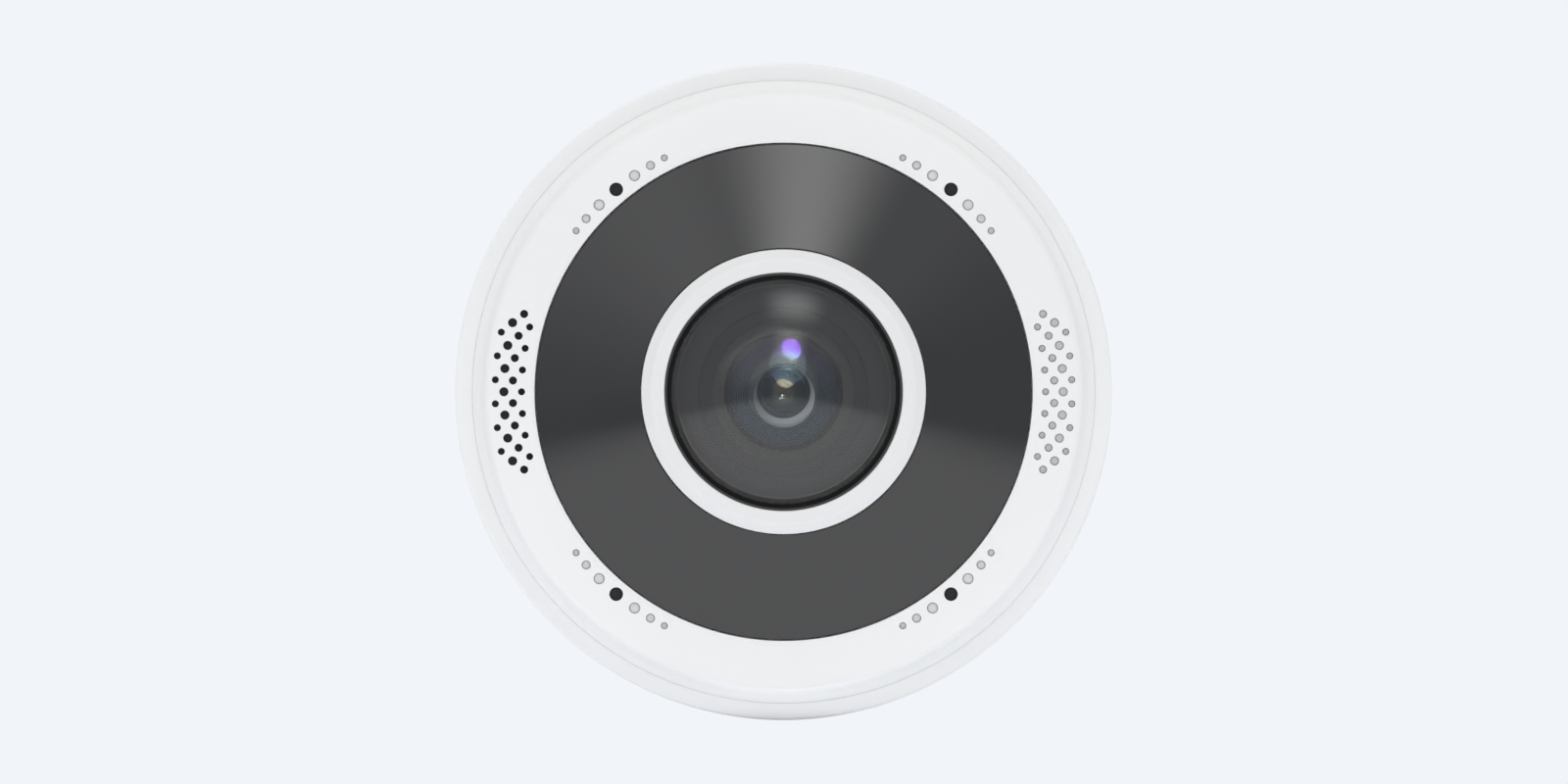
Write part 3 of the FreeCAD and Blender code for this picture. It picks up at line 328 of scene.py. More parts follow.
# %% Helpers for finishes
SHARP_EDGE, NO_EDGE = 0.86, 0.995        # how well the bevelled normal agrees with the true one
WORN_GLOSS, WORN_PATCH_MM, LEAST_WORN = 0.75, 3.0, 0.35


def noise(tree, size_mm, detail=2.0, vector=None):
    """Noise whose blobs are about size_mm across."""
    made = put(tree, "TexNoise", Scale=1.0 / (size_mm * MM), Detail=detail)
    link(tree, vector or coordinates(tree), made.inputs["Vector"])
    return made.outputs["Fac"]


def edges(tree, width_mm):
    """1 along edges and 0 elsewhere."""
    rounded = put(tree, "Bevel", samples=4, Radius=width_mm * MM)
    true = put(tree, "NewGeometry")
    agree = put(tree, "VectorMath", operation="DOT_PRODUCT")
    link(tree, rounded.outputs[0], agree.inputs[0])
    link(tree, true.outputs["Normal"], agree.inputs[1])
    return spread(tree, agree.outputs["Value"], 1.0, 0.0, SHARP_EDGE, NO_EDGE)


def relief(tree, surface, height, depth_mm):
    """Fine relief from a height socket, depth_mm deep."""
    bump = put(tree, "Bump", Distance=depth_mm * MM, Strength=1.0)
    link(tree, height, bump.inputs["Height"])
    link(tree, bump.outputs[0], surface.inputs["Normal"])


def finish(name, colour, shade, rough, grain_mm, depth_mm, metal=0.0, patch_mm=18.0, wear=None,
           wear_mm=0.35, wear_share=0.5, vector=None, gloss=0.5, coat=0.0):
    """The everyday finish: two near colours in soft patches, uneven roughness, fine relief and worn edges."""
    material, tree, surface = new_material(name)
    patches = spread(tree, noise(tree, patch_mm, 3.0), 0.0, 1.0)
    grain = noise(tree, grain_mm, 3.0, vector(tree) if vector else None)
    body = mixed(tree, patches, colour, shade)
    roughness = spread(tree, grain, *rough)
    if wear:
        uneven = spread(tree, noise(tree, WORN_PATCH_MM), LEAST_WORN, 1.0)
        worn = maths(tree, maths(tree, edges(tree, wear_mm), uneven), wear_share)
        body = mixed(tree, worn, body, wear)
        roughness = maths(tree, roughness, spread(tree, worn, 1.0, WORN_GLOSS, 0.0, 1.0))
    link(tree, body, surface.inputs["Base Color"])
    link(tree, roughness, surface.inputs["Roughness"])
    for key, value in (("Metallic", metal), ("Specular IOR Level", gloss), ("Coat Weight", coat)):
        surface.inputs[key].default_value = value
    relief(tree, surface, grain, depth_mm)
    return material


def turning(tree):
    """Coordinates for marks that run round the lens axis, as a lathe leaves them: fine along the radius only."""
    parts = split(tree, coordinates(tree))
    across, up = (maths(tree, parts[axis], 2.0, "POWER") for axis in "XZ")
    radius = maths(tree, maths(tree, across, up, "ADD"), 0.5, "POWER")
    joined = put(tree, "CombineXYZ")
    link(tree, radius, joined.inputs["X"])
    link(tree, parts["Y"], joined.inputs["Y"])
    return joined.outputs[0]


def look(colour, shade, rough, grain_mm, depth_mm, **rest):
    """A row in a table of finishes: two near colours, each a grey if it is one number, then roughness from and to,
    and the relief's grain and depth."""
    return dict(colour=colour, shade=shade, rough=rough, grain_mm=grain_mm, depth_mm=depth_mm, **rest)


print("finish helpers are ready")

# %% [markdown]
# ### One finish for each material of the record
#
# The white face is moulded in a stiff plastic with a very fine spark-eroded grain, the housing is cast and
# powder-coated with the orange-peel relief of such coats, and the parts inside are what a camera is made of:
# bare and anodised aluminium, gold-plated contacts, green board, ferrite, silicone pad, black mesh.

# %% Finishes of the record
RECORD_FINISHES = {
    "zinc_steel": look(
        (0.60, 0.61, 0.62), (0.52, 0.54, 0.57), (0.26, 0.42), 0.7, 0.006, metal=1.0, patch_mm=6.0,
        wear=(0.75, 0.75, 0.76), wear_mm=0.5),
    "bright_steel": look(
        (0.62, 0.61, 0.59), (0.56, 0.55, 0.53), (0.18, 0.32), 0.35, 0.003, metal=1.0, patch_mm=2.0,
        wear=(0.8, 0.79, 0.78), wear_mm=0.2),
    "cast_white": look(
        0.872, (0.860, 0.860, 0.861), (0.36, 0.46), 0.9, 0.012, patch_mm=30.0, wear=(0.78, 0.79, 0.80),
        wear_mm=0.4, wear_share=0.35),
    "white_plastic": look(
        (0.855, 0.855, 0.854), 0.843, (0.38, 0.48), 0.35, 0.006, patch_mm=35.0, wear=(0.80, 0.80, 0.81),
        wear_mm=0.3, wear_share=0.3),
    "black_plastic": look(
        (0.016, 0.016, 0.017), (0.022, 0.022, 0.024), (0.42, 0.58), 0.3, 0.008, wear=(0.05, 0.05, 0.052),
        wear_mm=0.25),
    "black_rubber": look(
        (0.014, 0.014, 0.015), (0.021, 0.021, 0.022), (0.55, 0.72), 0.25, 0.010, patch_mm=8.0,
        wear=(0.045, 0.045, 0.046), wear_mm=0.3, gloss=0.4),
    "jack_shell": look(
        (0.012, 0.012, 0.013), (0.020, 0.020, 0.021), (0.34, 0.5), 0.4, 0.006, wear=0.06, wear_mm=0.2),
    "gold_contact": look(
        (0.95, 0.68, 0.30), (0.86, 0.60, 0.25), (0.14, 0.26), 0.4, 0.002, metal=1.0, patch_mm=2.0,
        wear=(0.80, 0.60, 0.34), wear_mm=0.1),
    "circuit_board": look(
        (0.010, 0.085, 0.045), (0.014, 0.105, 0.055), (0.28, 0.42), 0.5, 0.010, patch_mm=3.0,
        wear=(0.30, 0.33, 0.20), wear_mm=0.2, coat=0.3),
    "chip_black": look(
        (0.020, 0.020, 0.021), (0.028, 0.028, 0.029), (0.5, 0.66), 0.18, 0.006, patch_mm=4.0, wear=0.06,
        wear_mm=0.15),
    "heat_pad_grey": look((0.30, 0.33, 0.38), (0.26, 0.29, 0.34), (0.7, 0.85), 0.3, 0.02, patch_mm=3.0),
    "transformer_core": look(
        (0.035, 0.034, 0.034), (0.055, 0.052, 0.050), (0.5, 0.7), 0.4, 0.02, patch_mm=4.0,
        wear=(0.12, 0.11, 0.10), wear_mm=0.3),
    "capacitor_can": look(
        (0.55, 0.56, 0.58), (0.49, 0.50, 0.52), (0.2, 0.34), 0.5, 0.004, metal=1.0, patch_mm=4.0),
    "led_package": look((0.78, 0.76, 0.70), (0.70, 0.68, 0.62), (0.4, 0.55), 0.2, 0.004, patch_mm=2.0),
    "black_anodised": look(
        (0.010, 0.010, 0.011), (0.015, 0.015, 0.016), (0.30, 0.44), 0.10, 0.006, metal=0.2, patch_mm=6.0,
        wear=(0.08, 0.08, 0.085), wear_mm=0.12, vector=turning),
    "bare_aluminium": look(
        (0.66, 0.67, 0.68), (0.60, 0.61, 0.63), (0.22, 0.38), 0.12, 0.006, metal=1.0, patch_mm=6.0,
        wear=(0.8, 0.8, 0.81), wear_mm=0.2, vector=turning),
    "brass_standoff": look(
        (0.70, 0.52, 0.26), (0.62, 0.45, 0.21), (0.22, 0.36), 0.3, 0.004, metal=1.0, patch_mm=2.0,
        wear=(0.85, 0.68, 0.40), wear_mm=0.15),
    "sensor_ceramic": look((0.10, 0.11, 0.13), (0.13, 0.12, 0.16), (0.12, 0.2), 0.4, 0.002, patch_mm=3.0),
    "coil_housing": look(
        (0.03, 0.03, 0.032), (0.045, 0.045, 0.048), (0.45, 0.6), 0.25, 0.01, patch_mm=5.0, wear=0.09,
        wear_mm=0.2),
    "magnet_metal": look(
        (0.50, 0.50, 0.52), (0.42, 0.42, 0.44), (0.26, 0.4), 0.4, 0.005, metal=1.0, patch_mm=4.0),
    "cone_paper": look((0.030, 0.029, 0.028), (0.045, 0.043, 0.041), (0.75, 0.9), 0.5, 0.03, patch_mm=3.0),
    "black_mesh": look(0.010, (0.016, 0.016, 0.017), (0.5, 0.66), 0.2, 0.010, patch_mm=4.0),
}
FINISHES = {name: finish(name, **settings) for name, settings in RECORD_FINISHES.items()}
print("opaque finishes:", len(FINISHES))

# %% [markdown]
# ### Glass and tinted plastic
#
# Thin clear parts mix a see-through surface with a mirror: head on they mirror about 4 %, and far more along their
# rims. Layer Weight's facing output gives the angle, and its fifth power is that rise. The window is so dark
# that only its gloss shows, over a trace of deep brown-black.

# %% Clear finishes
RIPPLE_MM, RIPPLE_DEPTH_MM, SMEAR_MM = 25.0, 0.004, 4.0
RIPPLE_SHADE, SMEAR = 0.93, 1.6


def clear(name, tint, mirror_colour, head_on, rough=0.02, rim=0.96):
    """A clear part: see-through, with a mirror on top that grows towards grazing angles."""
    material, tree, surface = new_material(name)
    facing = put(tree, "LayerWeight", Blend=0.5).outputs["Facing"]
    share = maths(tree, maths(tree, maths(tree, facing, 5.0, "POWER"), rim), head_on, "ADD")
    through = put(tree, "BsdfTransparent")
    through.inputs["Color"].default_value = tint + (1.0,)
    body = mixed(tree, spread(tree, noise(tree, RIPPLE_MM), 0.0, 1.0), mirror_colour,
                 tuple(RIPPLE_SHADE * c for c in mirror_colour))
    link(tree, body, surface.inputs["Base Color"])
    surface.inputs["Metallic"].default_value = 1.0
    link(tree, spread(tree, noise(tree, SMEAR_MM), rough, rough * SMEAR), surface.inputs["Roughness"])
    relief(tree, surface, noise(tree, RIPPLE_MM), RIPPLE_DEPTH_MM)
    blended(tree, share, through, surface, "Material Output")
    return material


CLEAR_FINISHES = {
    "dome_inside": dict(tint=(0.97, 0.97, 0.97), mirror_colour=(1.0, 1.0, 1.0), head_on=0.006, rim=0.2),
    "clear_lens": dict(tint=(0.90, 0.91, 0.92), mirror_colour=(1.0, 1.0, 1.0), head_on=0.05, rim=0.6),
    "coated_glass": dict(tint=(0.86, 0.90, 0.92), mirror_colour=(0.62, 0.72, 1.0), head_on=0.05, rim=0.5),
    "filter_glass": dict(tint=(0.75, 0.40, 0.42), mirror_colour=(0.55, 0.75, 1.0), head_on=0.12, rim=0.5),
}
for name, settings in CLEAR_FINISHES.items():
    FINISHES[name] = clear(name, **settings)
FINISHES["smoked_window"] = finish(
    "smoked_window", colour=(0.0060, 0.0058, 0.0058), shade=(0.0072, 0.0070, 0.0072), rough=(0.035, 0.06),
    grain_mm=1.2, depth_mm=0.0006, patch_mm=20.0, wear=(0.05, 0.05, 0.052), wear_mm=0.2, wear_share=0.3)
print("clear finishes:", len(CLEAR_FINISHES))

# %% [markdown]
# ### Finishes of the front pieces
#
# What the photograph shows at the front gets finishes of its own. The coatings on the lens mirror violet near the
# rim, teal further in and gold in the middle. The blacks differ too: the seal, its groove, the barrel's head, the
# shroud and its lip, and the threads each catch another share of the light. The groove's far darker black is
# painted shade, and the threads' lighter crests are partly wear and partly painted light.

# %% Coated glass and front finishes
LOWER_HALF, UPPER_HALF = 3.0, 9.0


def coated(name, ramp, head_on, tint, rim=0.35, below=None, reach=14.0):
    """Coated glass: the colour that it mirrors goes with the distance from the lens axis, up to reach. Where below
    is given, that colour takes over towards the lower half, which mirrors the floor."""
    material = clear(name, tint, (1.0, 1.0, 1.0), head_on, rough=0.03, rim=rim)
    tree = material.node_tree
    surface = tree.nodes["Principled BSDF"]
    bands = put(tree, "ValToRGB")
    link(tree, maths(tree, split(tree, turning(tree))["X"], 1 / (reach * MM)), bands.inputs["Fac"])
    stops = bands.color_ramp.elements
    while len(stops) < len(ramp):
        stops.new(0.5)
    for stop, (radius, colour) in zip(stops, ramp):
        stop.position = radius / reach
        stop.color = colour + (1.0,)
    mirrored = bands.outputs["Color"]
    if below:
        up = split(tree, coordinates(tree))["Z"]
        upper = spread(tree, up, 0.0, 1.0, LOWER_HALF * MM, UPPER_HALF * MM)
        mirrored = mixed(tree, upper, below, mirrored)
    link(tree, mirrored, surface.inputs["Base Color"])
    return material


VIOLET, SKY = (0.23, 0.08, 0.70), (0.22, 0.34, 0.62)
TEAL, DIM = (0.24, 0.44, 0.40), (0.11, 0.17, 0.17)
GOLD, PLUM = (1.0, 0.86, 0.50), (0.90, 0.30, 0.75)
STEEL, NIGHT, DEEP = (0.34, 0.55, 0.80), (0.05, 0.06, 0.08), (0.012, 0.018, 0.018)
MUTED, DOME_RIM_PAINTED_LIGHT = (0.50, 0.50, 0.50), (1.0, 1.0, 1.0)
COATED_FINISHES = {
    # The dome's mirror colour doubles beyond about 26 mm from the axis: painted light on the rim band, which
    # mirrors the collar's shaded wall.
    "dome_clear": dict(
        ramp=[(0, MUTED), (25.7, MUTED), (26.3, DOME_RIM_PAINTED_LIGHT), (31.0, DOME_RIM_PAINTED_LIGHT)], head_on=0.062, tint=(0.96, 0.96, 0.96),
        rim=0.6, reach=31.0),
    "front_coated": dict(
        ramp=[(0, DIM), (5.9, DIM), (6.7, TEAL), (8.2, TEAL), (9.4, SKY), (10.6, VIOLET), (12.7, VIOLET),
              (13.1, PLUM)], head_on=0.016, tint=(0.96, 0.975, 0.98), below=STEEL),
    "second_coated": dict(
        ramp=[(0, PLUM), (0.45, PLUM), (0.8, GOLD), (2.9, GOLD), (3.3, DEEP), (8.4, DEEP)], head_on=0.065,
        tint=(0.90, 0.92, 0.92)),
    "quiet_coated": dict(ramp=[(0, NIGHT), (8.4, NIGHT)], head_on=0.010, tint=(0.93, 0.95, 0.95)),
    "inner_coated": dict(
        ramp=[(0, PLUM), (1.0, PLUM), (1.2, GOLD), (2.2, GOLD), (2.6, NIGHT), (4.6, PLUM)], head_on=0.03,
        tint=(0.7, 0.72, 0.74)),
}
FRONT_FINISHES = {
    "collar_white": look(
        0.800, (0.788, 0.788, 0.789), (0.36, 0.46), 0.35, 0.005, patch_mm=20.0, wear=(0.74, 0.74, 0.75),
        wear_mm=0.3, wear_share=0.3),
    "seal_rubber": look(
        0.042, 0.050, (0.6, 0.75), 0.25, 0.01, patch_mm=8.0, wear=(0.08, 0.08, 0.081), wear_mm=0.25, gloss=0.3),
    "head_black": look(
        (0.007, 0.007, 0.0075), (0.009, 0.009, 0.0095), (0.65, 0.8), 0.12, 0.002, patch_mm=6.0, gloss=0.12,
        vector=turning),
    "shroud_lip": look(
        (0.019, 0.019, 0.0185), (0.022, 0.022, 0.0215), (0.55, 0.68), 0.2, 0.0015, patch_mm=10.0, gloss=0.2,
        vector=turning),
    # The seal's groove: the same rubber, far darker, as painted shade.
    "seal_groove_painted_shade": look(0.002, 0.004, (0.7, 0.85), 0.25, 0.01, patch_mm=8.0, gloss=0.15),
    "baffle_black": look(
        (0.008, 0.008, 0.0082), (0.010, 0.010, 0.0102), (0.5, 0.62), 0.2, 0.0015, patch_mm=10.0,
        wear=(0.02, 0.02, 0.021), wear_mm=0.15, gloss=0.25, vector=turning),
}
for name, settings in COATED_FINISHES.items():
    FINISHES[name] = coated(name, **settings)
for name, settings in FRONT_FINISHES.items():
    FINISHES[name] = finish(name, **settings)


# The thread crests are painted a lighter blue grey, partly as wear and partly as painted light.
THREAD_TOP, THREAD_FOOT, THREAD_TURNS = 13.3, 8.75, 9
CREST, OUTER_TURNS, OUTER_FROM = (0.1, 0.6), 0.25, (10.8 * MM, 12.6 * MM)
CREST_WEAR_AND_PAINTED_LIGHT, RING_PAINTED_SHADE = (0.058, 0.086, 0.105), (0.020, 0.022, 0.024)
# The satin ring's dark colour outside an off-centre circle is painted shade, and its rise towards the lower right
# is painted light.
CRESCENT_CENTRE = (0.12 * MM, -48.7 * MM, -1.22 * MM)
CRESCENT_EDGE = (7.35 * MM, 7.6 * MM)
PAINTED_LIGHT_SIDE, PAINTED_LIGHT_RISE, PAINTED_LIGHT_LEAST = (0.50, 0.0, -0.87), (-2.0 * MM, 7.0 * MM), 0.22


def threaded_black():
    """Black anodised threads: crests painted blue grey, part wear and part painted light; roots and outer turns
    stay black.
    """
    material = finish(
        "thread_black", colour=(0.003, 0.004, 0.005), shade=(0.005, 0.006, 0.007), rough=(0.42, 0.52),
        grain_mm=0.12, depth_mm=0.001, patch_mm=6.0, vector=turning, gloss=0.25)
    tree = material.node_tree
    surface = tree.nodes["Principled BSDF"]
    radius = split(tree, turning(tree))["X"]
    pitch = (THREAD_TOP - THREAD_FOOT) / THREAD_TURNS * MM
    turn = maths(tree, maths(tree, maths(tree, THREAD_TOP * MM, radius, "SUBTRACT"), 1 / pitch), 0.0, "FRACT")
    crest = spread(tree, turn, 1.0, 0.0, *CREST)
    inner = maths(tree, spread(tree, radius, 1.0, OUTER_TURNS, *OUTER_FROM), crest)
    body = surface.inputs["Base Color"].links[0].from_socket
    link(tree, mixed(tree, inner, body, CREST_WEAR_AND_PAINTED_LIGHT), surface.inputs["Base Color"])
    return material


FINISHES["thread_black"] = threaded_black()


def satin_ring():
    """Turned satin aluminium, painted dark outside a circle that lies a little off centre, as painted shade. The
    crescent left inside is painted lighter towards its lower right, as painted light."""
    material = finish(
        "satin_ring", colour=(0.90, 0.91, 0.92), shade=(0.86, 0.87, 0.88), rough=(0.34, 0.46), grain_mm=0.08,
        depth_mm=0.002, patch_mm=4.0, wear=(0.92, 0.92, 0.93), wear_mm=0.04, wear_share=0.2, vector=turning)
    tree = material.node_tree
    surface = tree.nodes["Principled BSDF"]
    off_centre = put(tree, "VectorMath", operation="DISTANCE")
    off_centre.inputs[1].default_value = CRESCENT_CENTRE
    slope = put(tree, "VectorMath", operation="DOT_PRODUCT")
    slope.inputs[1].default_value = PAINTED_LIGHT_SIDE
    for measure in (off_centre, slope):
        link(tree, coordinates(tree), measure.inputs[0])
    inside = spread(tree, off_centre.outputs["Value"], 1.0, 0.0, *CRESCENT_EDGE)
    painted_light = spread(tree, slope.outputs["Value"], PAINTED_LIGHT_LEAST, 1.0, *PAINTED_LIGHT_RISE)
    share = maths(tree, painted_light, inside)
    body = surface.inputs["Base Color"].links[0].from_socket
    link(tree, mixed(tree, share, RING_PAINTED_SHADE, body), surface.inputs["Base Color"])
    return material


FINISHES["satin_ring"] = satin_ring()

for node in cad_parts.values():
    for slot in node.material_slots:
        slot.material = FINISHES[slot.material.name.split(".")[0]]
print("finishes:", sorted(FINISHES))

# %% [markdown]
# ## Turned pieces
#
# Nearly everything at the front is round and could be turned on a lathe: the window, the collar, the seal, the
# dome, the shroud and the lens. Each is made the same way. One vertex is drawn out, edge by edge, into the closed
# outline of the piece, and that outline is spun round the lens axis. Corners get small radii, because no moulded
# or turned edge is perfectly sharp, and those radii catch the light.

# %% Outlines with rounded corners
ARC_PARTS = 4
SUPPORT = 0.12


def away(start, goal, distance):
    """The point at a distance from start towards goal."""
    length = math.dist(start, goal)
    return tuple(a + (b - a) * distance / length for a, b in zip(start, goal))


def rounded(corners):
    """Points of a closed outline. A corner (radius, height, round) is turned into an arc with that radius."""
    points = []
    for i, corner in enumerate(corners):
        here = corner[:2]
        if len(corner) == 2:
            points.append(here)
            continue
        before, after = corners[i - 1][:2], corners[(i + 1) % len(corners)][:2]
        first, last = away(here, before, corner[2]), away(here, after, corner[2])
        if math.dist(first, before) > 2 * SUPPORT:
            points.append(away(first, before, SUPPORT))
        for step in range(ARC_PARTS + 1):
            t = step / ARC_PARTS
            points.append(tuple((1 - t) ** 2 * a + 2 * t * (1 - t) * b + t * t * c
                                for a, b, c in zip(first, here, last)))
        if math.dist(last, after) > 2 * SUPPORT:
            points.append(away(last, after, SUPPORT))
    return points


def bow(start, end, bulge, parts):
    """Points of a shallow arc from start to end, both left out, that stands proud by bulge at its middle."""
    span = math.dist(start, end)
    across = ((end[1] - start[1]) / span, -(end[0] - start[0]) / span)
    inner = []
    for step in range(1, parts):
        t = step / parts
        lift = 4 * bulge * t * (1 - t)
        inner.append(tuple(a + (b - a) * t - n * lift for a, b, n in zip(start, end, across)))
    return inner


def cap(apex, rise, radius, parts, inward=False):
    """Points of a spherical cap's outline, from its middle to its edge, or from edge to middle."""
    ball = (radius ** 2 + rise ** 2) / (2 * rise)
    ring = [(radius * i / parts, apex - ball + math.sqrt(ball ** 2 - (radius * i / parts) ** 2))
            for i in range(parts + 1)]
    return ring[::-1] if inward else ring


print("a corner becomes", len(rounded([(0, 0), (10, 0, 1), (10, 10)])) - 2, "points")

# %% [markdown]
# ### The lathe
#
# The outline is drawn in the plane of the picture's right and the lens axis, and spun in 192 steps, which keeps a
# ring of 160 mm round to within 0.02 mm. Faces are smooth shaded, except across edges that turn by more than 32
# degrees.

# %% The lathe
SPIN_STEPS = 192
SHARP = math.radians(32)
WELD, TOO_SHORT = 0.004 * MM, 0.002 * MM


def open_mesh():
    """Opens the active object's mesh, with everything selected."""
    bpy.ops.object.mode_set(mode="EDIT")
    bpy.ops.mesh.select_all(action="SELECT")


def close_mesh():
    """Turns every face outward and closes the mesh."""
    bpy.ops.mesh.select_all(action="SELECT")
    bpy.ops.mesh.normals_make_consistent(inside=False)
    bpy.ops.object.mode_set(mode="OBJECT")


def lathe(outline):
    """Spins an outline of (radius, height above the wall) round the lens axis, into a new object."""
    bpy.ops.object.select_all(action="DESELECT")
    bpy.ops.mesh.primitive_plane_add(size=MM, location=(0, 0, 0))
    piece = bpy.context.object
    open_mesh()
    bpy.ops.mesh.merge(type="CENTER")
    radius, height = outline[0]
    bpy.ops.transform.translate(value=(radius * MM, -height * MM, 0))
    for (r0, h0), (r1, h1) in zip(outline, outline[1:] + outline[:1]):
        bpy.ops.mesh.extrude_region_move(TRANSFORM_OT_translate={"value": ((r1 - r0) * MM, (h0 - h1) * MM, 0)})
    bpy.ops.mesh.select_all(action="SELECT")
    bpy.ops.mesh.spin(steps=SPIN_STEPS, angle=2 * math.pi, center=(0, 0, 0), axis=(0, 1, 0))
    bpy.ops.mesh.select_all(action="SELECT")
    bpy.ops.mesh.remove_doubles(threshold=WELD)
    bpy.ops.mesh.dissolve_degenerate(threshold=TOO_SHORT)
    close_mesh()
    return piece


def pick(piece):
    bpy.ops.object.select_all(action="DESELECT")
    piece.select_set(True)
    bpy.context.view_layer.objects.active = piece


def smooth(piece):
    pick(piece)
    bpy.ops.object.shade_smooth_by_angle(angle=SHARP)


def dress(piece, name, finish_name, *nodes, slot=None, body="camera"):
    """Smooths and names a finished piece, gives it its finish, lets it ride, and takes the place of CAD nodes."""
    smooth(piece)
    piece.name = piece.data.name = name
    piece.data.materials.clear()
    piece.data.materials.append(FINISHES[finish_name])
    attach(piece, body)
    if nodes:
        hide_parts(*nodes)
    size = [round(d / MM, 2) for d in piece.dimensions]
    print(name, "is", size, "mm, with", len(piece.data.polygons), "faces")
    return piece


def second_finish(piece, finish_name, chosen):
    """Gives the faces that chosen picks by their middle point (radius, height) a finish of their own."""
    piece.data.materials.append(FINISHES[finish_name])
    for face in piece.data.polygons:
        x, y, z = face.center / MM
        if chosen(math.hypot(x, z), -y):
            face.material_index = 1


def turned(name, corners, finish_name, *nodes, slot=None):
    """A finished piece from the corners of its outline."""
    return dress(lathe(rounded(corners)), name, finish_name, *nodes, slot=slot)


print("spin steps:", SPIN_STEPS)

# %% [markdown]
# ### Drilling
#
# Holes are made as in a workshop, with tools. A tool is a round stack, wider or narrower from level to level, so
# one tool cuts a hole with its broken edge. All tools of a piece are joined first and cut at once, which is
# quicker.

# %% Drilling
TOOL_SIDES = 28


def drill(piece, tools, operation="DIFFERENCE"):
    """Cuts round tools (x, y, [(radius, height), ...]) out of a piece, all at once, or adds them to it."""
    cutters = []
    for x, y, outline in tools:
        bpy.ops.object.select_all(action="DESELECT")
        bpy.ops.mesh.primitive_circle_add(
            vertices=TOOL_SIDES, radius=outline[0][0] * MM, fill_type="NGON",
            location=(x * MM, -outline[0][1] * MM, y * MM), rotation=LOOKS_LEVEL)
        cutters.append(bpy.context.object)
        open_mesh()
        for (r0, h0), (r1, h1) in zip(outline, outline[1:]):
            bpy.ops.mesh.extrude_region_move(TRANSFORM_OT_translate={"value": (0, (h0 - h1) * MM, 0)})
            bpy.ops.transform.resize(value=(r1 / r0,) * 3, center_override=(x * MM, -h1 * MM, y * MM))
        close_mesh()
    bpy.ops.object.select_all(action="DESELECT")
    for cutter in cutters:
        cutter.select_set(True)
    bpy.context.view_layer.objects.active = cutters[0]
    if len(cutters) > 1:
        bpy.ops.object.join()
    tool = bpy.context.object
    pick(piece)
    cut = piece.modifiers.new("drill", "BOOLEAN")
    cut.operation = operation
    cut.solver = "EXACT"
    cut.object = tool
    bpy.ops.object.modifier_apply(modifier=cut.name)
    bpy.data.objects.remove(tool)


def clock(radius, degrees):
    """The place at a distance from the lens axis and a clock angle in the picture."""
    return radius * math.cos(math.radians(degrees)), radius * math.sin(math.radians(degrees))


print("a place on the clock:", [round(v, 2) for v in clock(64.0, 30)])

# %% [markdown]
# ### Levels that pieces share
#
# Where one piece sits on another, both take the height from here, in millimetres above the wall.

# %% Shared levels
FRAME_FRONT = 36.5
COVER_SEAT, COVER_UNDER = 33.0, 41.0
LEDGE_BACK, LEDGE_FRONT = 39.4, 40.9
COLLAR_SHELF, COLLAR_FACE = 46.9, 51.8
FLANGE_BACK, FLANGE_FRONT, SEAL_TOP = 47.6, 49.6, 50.1
BARREL_STEP, HEAD_TOP = 47.2, 50.0
FLANGE_RADIUS, DOME_RADIUS = 30.4, 27.2
print("from cover seat to collar face:", round(COLLAR_FACE - COVER_SEAT, 2), "mm")

# %% [markdown]
# ### The front cover
#
# A moulded white ring. Its face falls gently outward, then drops in a soft S-curve to the housing's shoulder. The
# speaker's grille and the four microphone ports are open holes. The other grille and the rest of each arc are
# blind dimples, which a mould makes with a slight draft, so their walls show as a thin ring round each floor; that
# ring's dark colour, and the grey of the grille's floors, are painted shade.

# %% Cover
LIP, BROW, FLANK, FLARE, FOOT = (60.9, 43.6), (71.3, 42.9), (73.0, 41.2), (73.5, 38.4), (75.85, 34.3)
BORE, LEDGE_EDGE, LEDGE_WALL, SKIRT_WALL = 60.7, 57.3, 61.9, 71.6
FACE_BOW, BROW_BOW, FLARE_BOW, BOW_PARTS = 0.15, 0.5, -0.55, 8
front = bow(LIP, BROW, FACE_BOW, BOW_PARTS) + [BROW] + bow(BROW, FLANK, BROW_BOW, BOW_PARTS)
flare = [FLANK, (73.2, 40.0), FLARE] + bow(FLARE, FOOT, FLARE_BOW, BOW_PARTS + 2)
cover = lathe([(BORE, LEDGE_FRONT), (BORE, 43.4), (60.76, 43.54), LIP] + front + flare
              + [FOOT, (FOOT[0], COVER_SEAT), (SKIRT_WALL, COVER_SEAT), (SKIRT_WALL, COVER_UNDER),
                 (LEDGE_WALL, COVER_UNDER), (LEDGE_WALL, LEDGE_BACK), (LEDGE_EDGE, LEDGE_BACK),
                 (LEDGE_EDGE, LEDGE_FRONT)])
DIMPLE_DEPTH, DRAFT, BREAK = 0.8, 0.22, 0.06
PORT_RING, PORT_RADIUS, PORT_ANGLES = 64.0, 1.68, (50.4, 129.6, 230.4, 309.6)
ARC_DIMPLES = ((5.03, 1.36), (9.15, 1.11), (12.6, 0.86))                # degrees from the port, radius
GRILLE_ROWS = ((7, 0.86), (8, 0.99), (7, 1.12), (6, 0.86))              # holes in a row, radius
GRILLE_FROM, ROW_STEP, HALF_STEP_DEGREES = 63.86, 2.15, 2.385
SCREW_BOSSES = (68.0, 3.8, COVER_SEAT, 41.1, range(30, 390, 60))        # ring, radius, foot, top, clock angles
LEDGE_BOSSES = (60.0, 2.3, FRAME_FRONT, 39.5, (25, 90, 155, 205, 270, 335))


def face_level(radius):
    """The height of the cover's face, which is slightly bowed, at a distance from the lens axis."""
    share = (radius - LIP[0]) / (BROW[0] - LIP[0])
    return LIP[1] + share * (BROW[1] - LIP[1]) + 4 * FACE_BOW * share * (1 - share)


